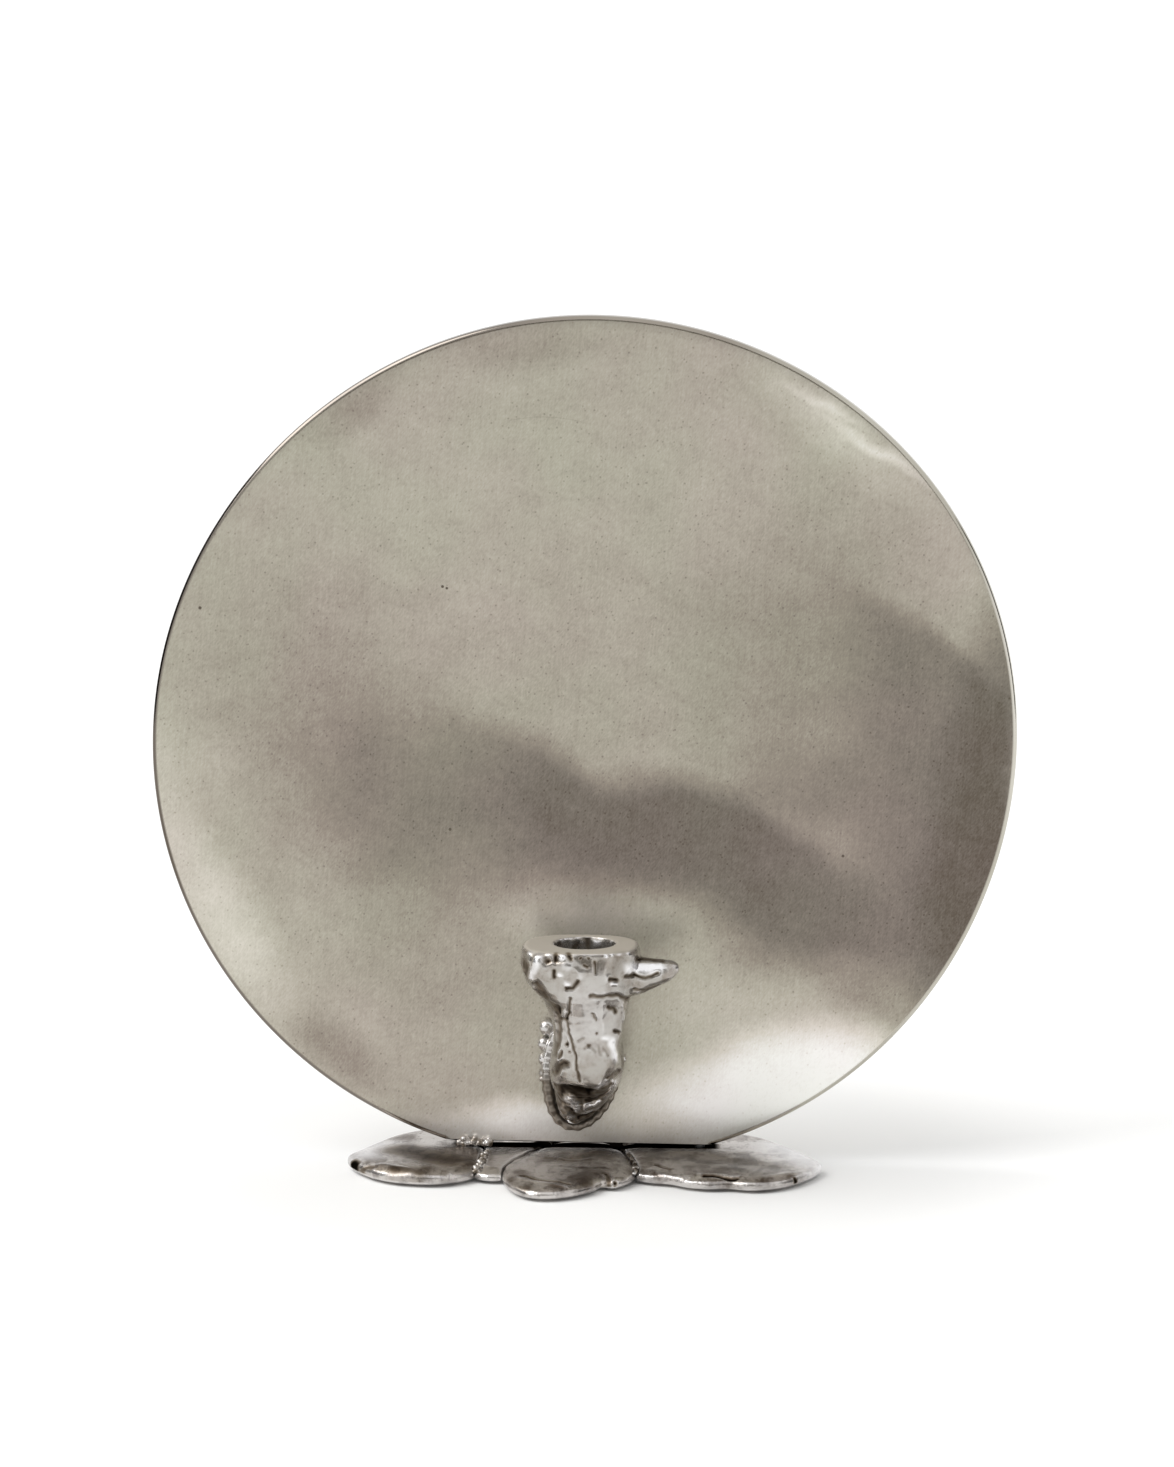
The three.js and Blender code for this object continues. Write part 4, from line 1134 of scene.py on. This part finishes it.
def makeBraze(name, node, **settings):
    bead = brazeWork | settings
    piece = copySolid(name, node)
    addDrops(piece.data, bead)
    useTree(piece, lumpyBraze, {
        "Spacing": bead["spacing"] * mm, "Smallest": bead["smallest"] * mm, "Largest": bead["largest"] * mm,
        "Flat Below": (bead["flatBelow"] - bead["lowDrop"]) * mm, "Seed": bead["seed"],
        "Material": nickelCast})
    fuse(piece, bead["voxel"], bead["smoothing"], nickelCast)
    mesh = piece.data
    places, flatBelow, blend = readPlaces(mesh), bead["flatBelow"], bead["lowBlend"]
    patches = noiseField(places, bead["dirtSize"], bead["seed"])
    grimeAndShade = bead["dirt"] * smoothStep(*bead["dirtRange"], patches)
    grimeAndShade += bead["lowDarkening"] * smoothStep(flatBelow + blend, flatBelow - blend, places[:, 2])
    dirt, shine = findWear(mesh, places)
    writeValue(mesh, "grimeAndShade", grimeAndShade + dirt)
    writeValue(mesh, "polishAndHighlight", bead["polishAndHighlight"] + shine)
    finishPiece(piece, "braze", node)


lumpyBraze = lumpTree()
# drops ran out beside the arm: across, up and radius, and how much of the radius their middle stands before
# the disc
makeBraze(
    "rootBead", "arm_braze_bead", spacing=24, smallest=0.8, largest=1.3, seed=4, dirt=0.02, flatBelow=34,
    smoothing=16, dropOut=0.6, drops=[
        (-13.4, 51.6, 3.1), (-14.4, 45.4, 2.7), (-14, 39.6, 2.9), (-14.4, 34.2, 2.3), (-13.2, 30, 2),
        (-11.4, 25.8, 1.9), (-8.8, 21, 1.7), (-5.4, 17.6, 1.6), (-1.4, 16.2, 1.5), (2.6, 17.2, 1.4),
        (6, 20, 1.6), (9, 24, 1.3), (11.6, 28.6, 1.6), (13.4, 34, 1.3), (14.8, 39.6, 1.5)])
makeBraze("footTack", "foot_tack", spacing=1.6, smallest=0.7, largest=1.3, seed=5, dirt=0.4)
makeBraze("seamLeft", "seam_bead_left", spacing=1.7, smallest=0.6, largest=1.2, seed=6, dirt=0.5)
makeBraze("seamRight", "seam_bead_right", spacing=1.6, smallest=0.3, largest=0.8, seed=7, dirt=0.8)
makeBraze("seamRearLeft", "seam_bead_rear_left", spacing=1.6, smallest=0.4, largest=1, seed=8, dirt=0.4)
makeBraze("seamRearRight", "seam_bead_rear_right", spacing=1.6, smallest=0.4, largest=1, seed=9, dirt=0.4)


# Felt pads under the base

feltWork = {"radius": 7.9, "sides": 48, "rings": 10, "layers": 3, "fuzz": 0.12, "fuzzSize": 1.1,
            "fuzzDetail": 2.0, "seed": 3}


def feltTree():
    tree, given = newGeometryTree("feltDiscs", ("Radius", "Thickness", "Fuzz", "Fuzz Size"))
    disc = addNode(tree, "GeometryNodeMeshCylinder", None, {
        "Vertices": feltWork["sides"], "Side Segments": feltWork["layers"],
        "Fill Segments": feltWork["rings"], "Radius": given["Radius"], "Depth": given["Thickness"]})
    discs = addNode(tree, "GeometryNodeInstanceOnPoints", None,
                    {"Points": given["Mesh"], "Instance": disc.outputs["Mesh"]})
    real = addNode(tree, "GeometryNodeRealizeInstances", None, {0: discs.outputs[0]})
    density = addMath(tree, "DIVIDE", 1.0, given["Fuzz Size"])
    field = addNode(tree, "ShaderNodeTexNoise", {"noise_dimensions": "4D"},
                    {"W": given["Seed"], "Scale": density, "Detail": feltWork["fuzzDetail"]})
    centred = addVectorMath(tree, "SUBTRACT", field.outputs["Color"], (0.5, 0.5, 0.5))
    sideways = addVectorMath(tree, "MULTIPLY", centred, (1, 1, 0))
    pushed = addNode(tree, "ShaderNodeVectorMath", {"operation": "SCALE"},
                     {0: sideways, "Scale": given["Fuzz"]})
    moved = addNode(tree, "GeometryNodeSetPosition", None,
                    {"Geometry": real.outputs[0], "Offset": pushed.outputs[0]})
    cloth = addNode(tree, "GeometryNodeSetMaterial", None,
                    {"Geometry": moved.outputs[0], "Material": given["Material"]})
    addNode(tree, "NodeGroupOutput", None, {0: cloth.outputs[0]})
    return tree


def makeFelt():
    nodes = [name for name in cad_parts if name.startswith("felt_pad")]
    boxes = [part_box(name) for name in nodes]
    mesh = bpy.data.meshes.new("feltPads")
    mesh.from_pydata([tuple((low + high) / 2) for low, high in boxes], [], [])
    piece = addObject("feltPads", mesh)
    useTree(piece, feltTree(), {
        "Radius": feltWork["radius"] * mm, "Thickness": boxes[0][1].z - boxes[0][0].z,
        "Fuzz": feltWork["fuzz"] * mm, "Fuzz Size": feltWork["fuzzSize"] * mm,
        "Seed": feltWork["seed"], "Material": woolFelt})
    bakeModifiers(piece, woolFelt)
    finishPiece(piece, "felt", *nodes)


makeFelt()


# Screws keep their solids

for name in ("foot_screw_left", "foot_screw_right"):
    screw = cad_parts[name].data
    screw.materials.clear()
    screw.materials.append(steelScrew)
print("screws finished")
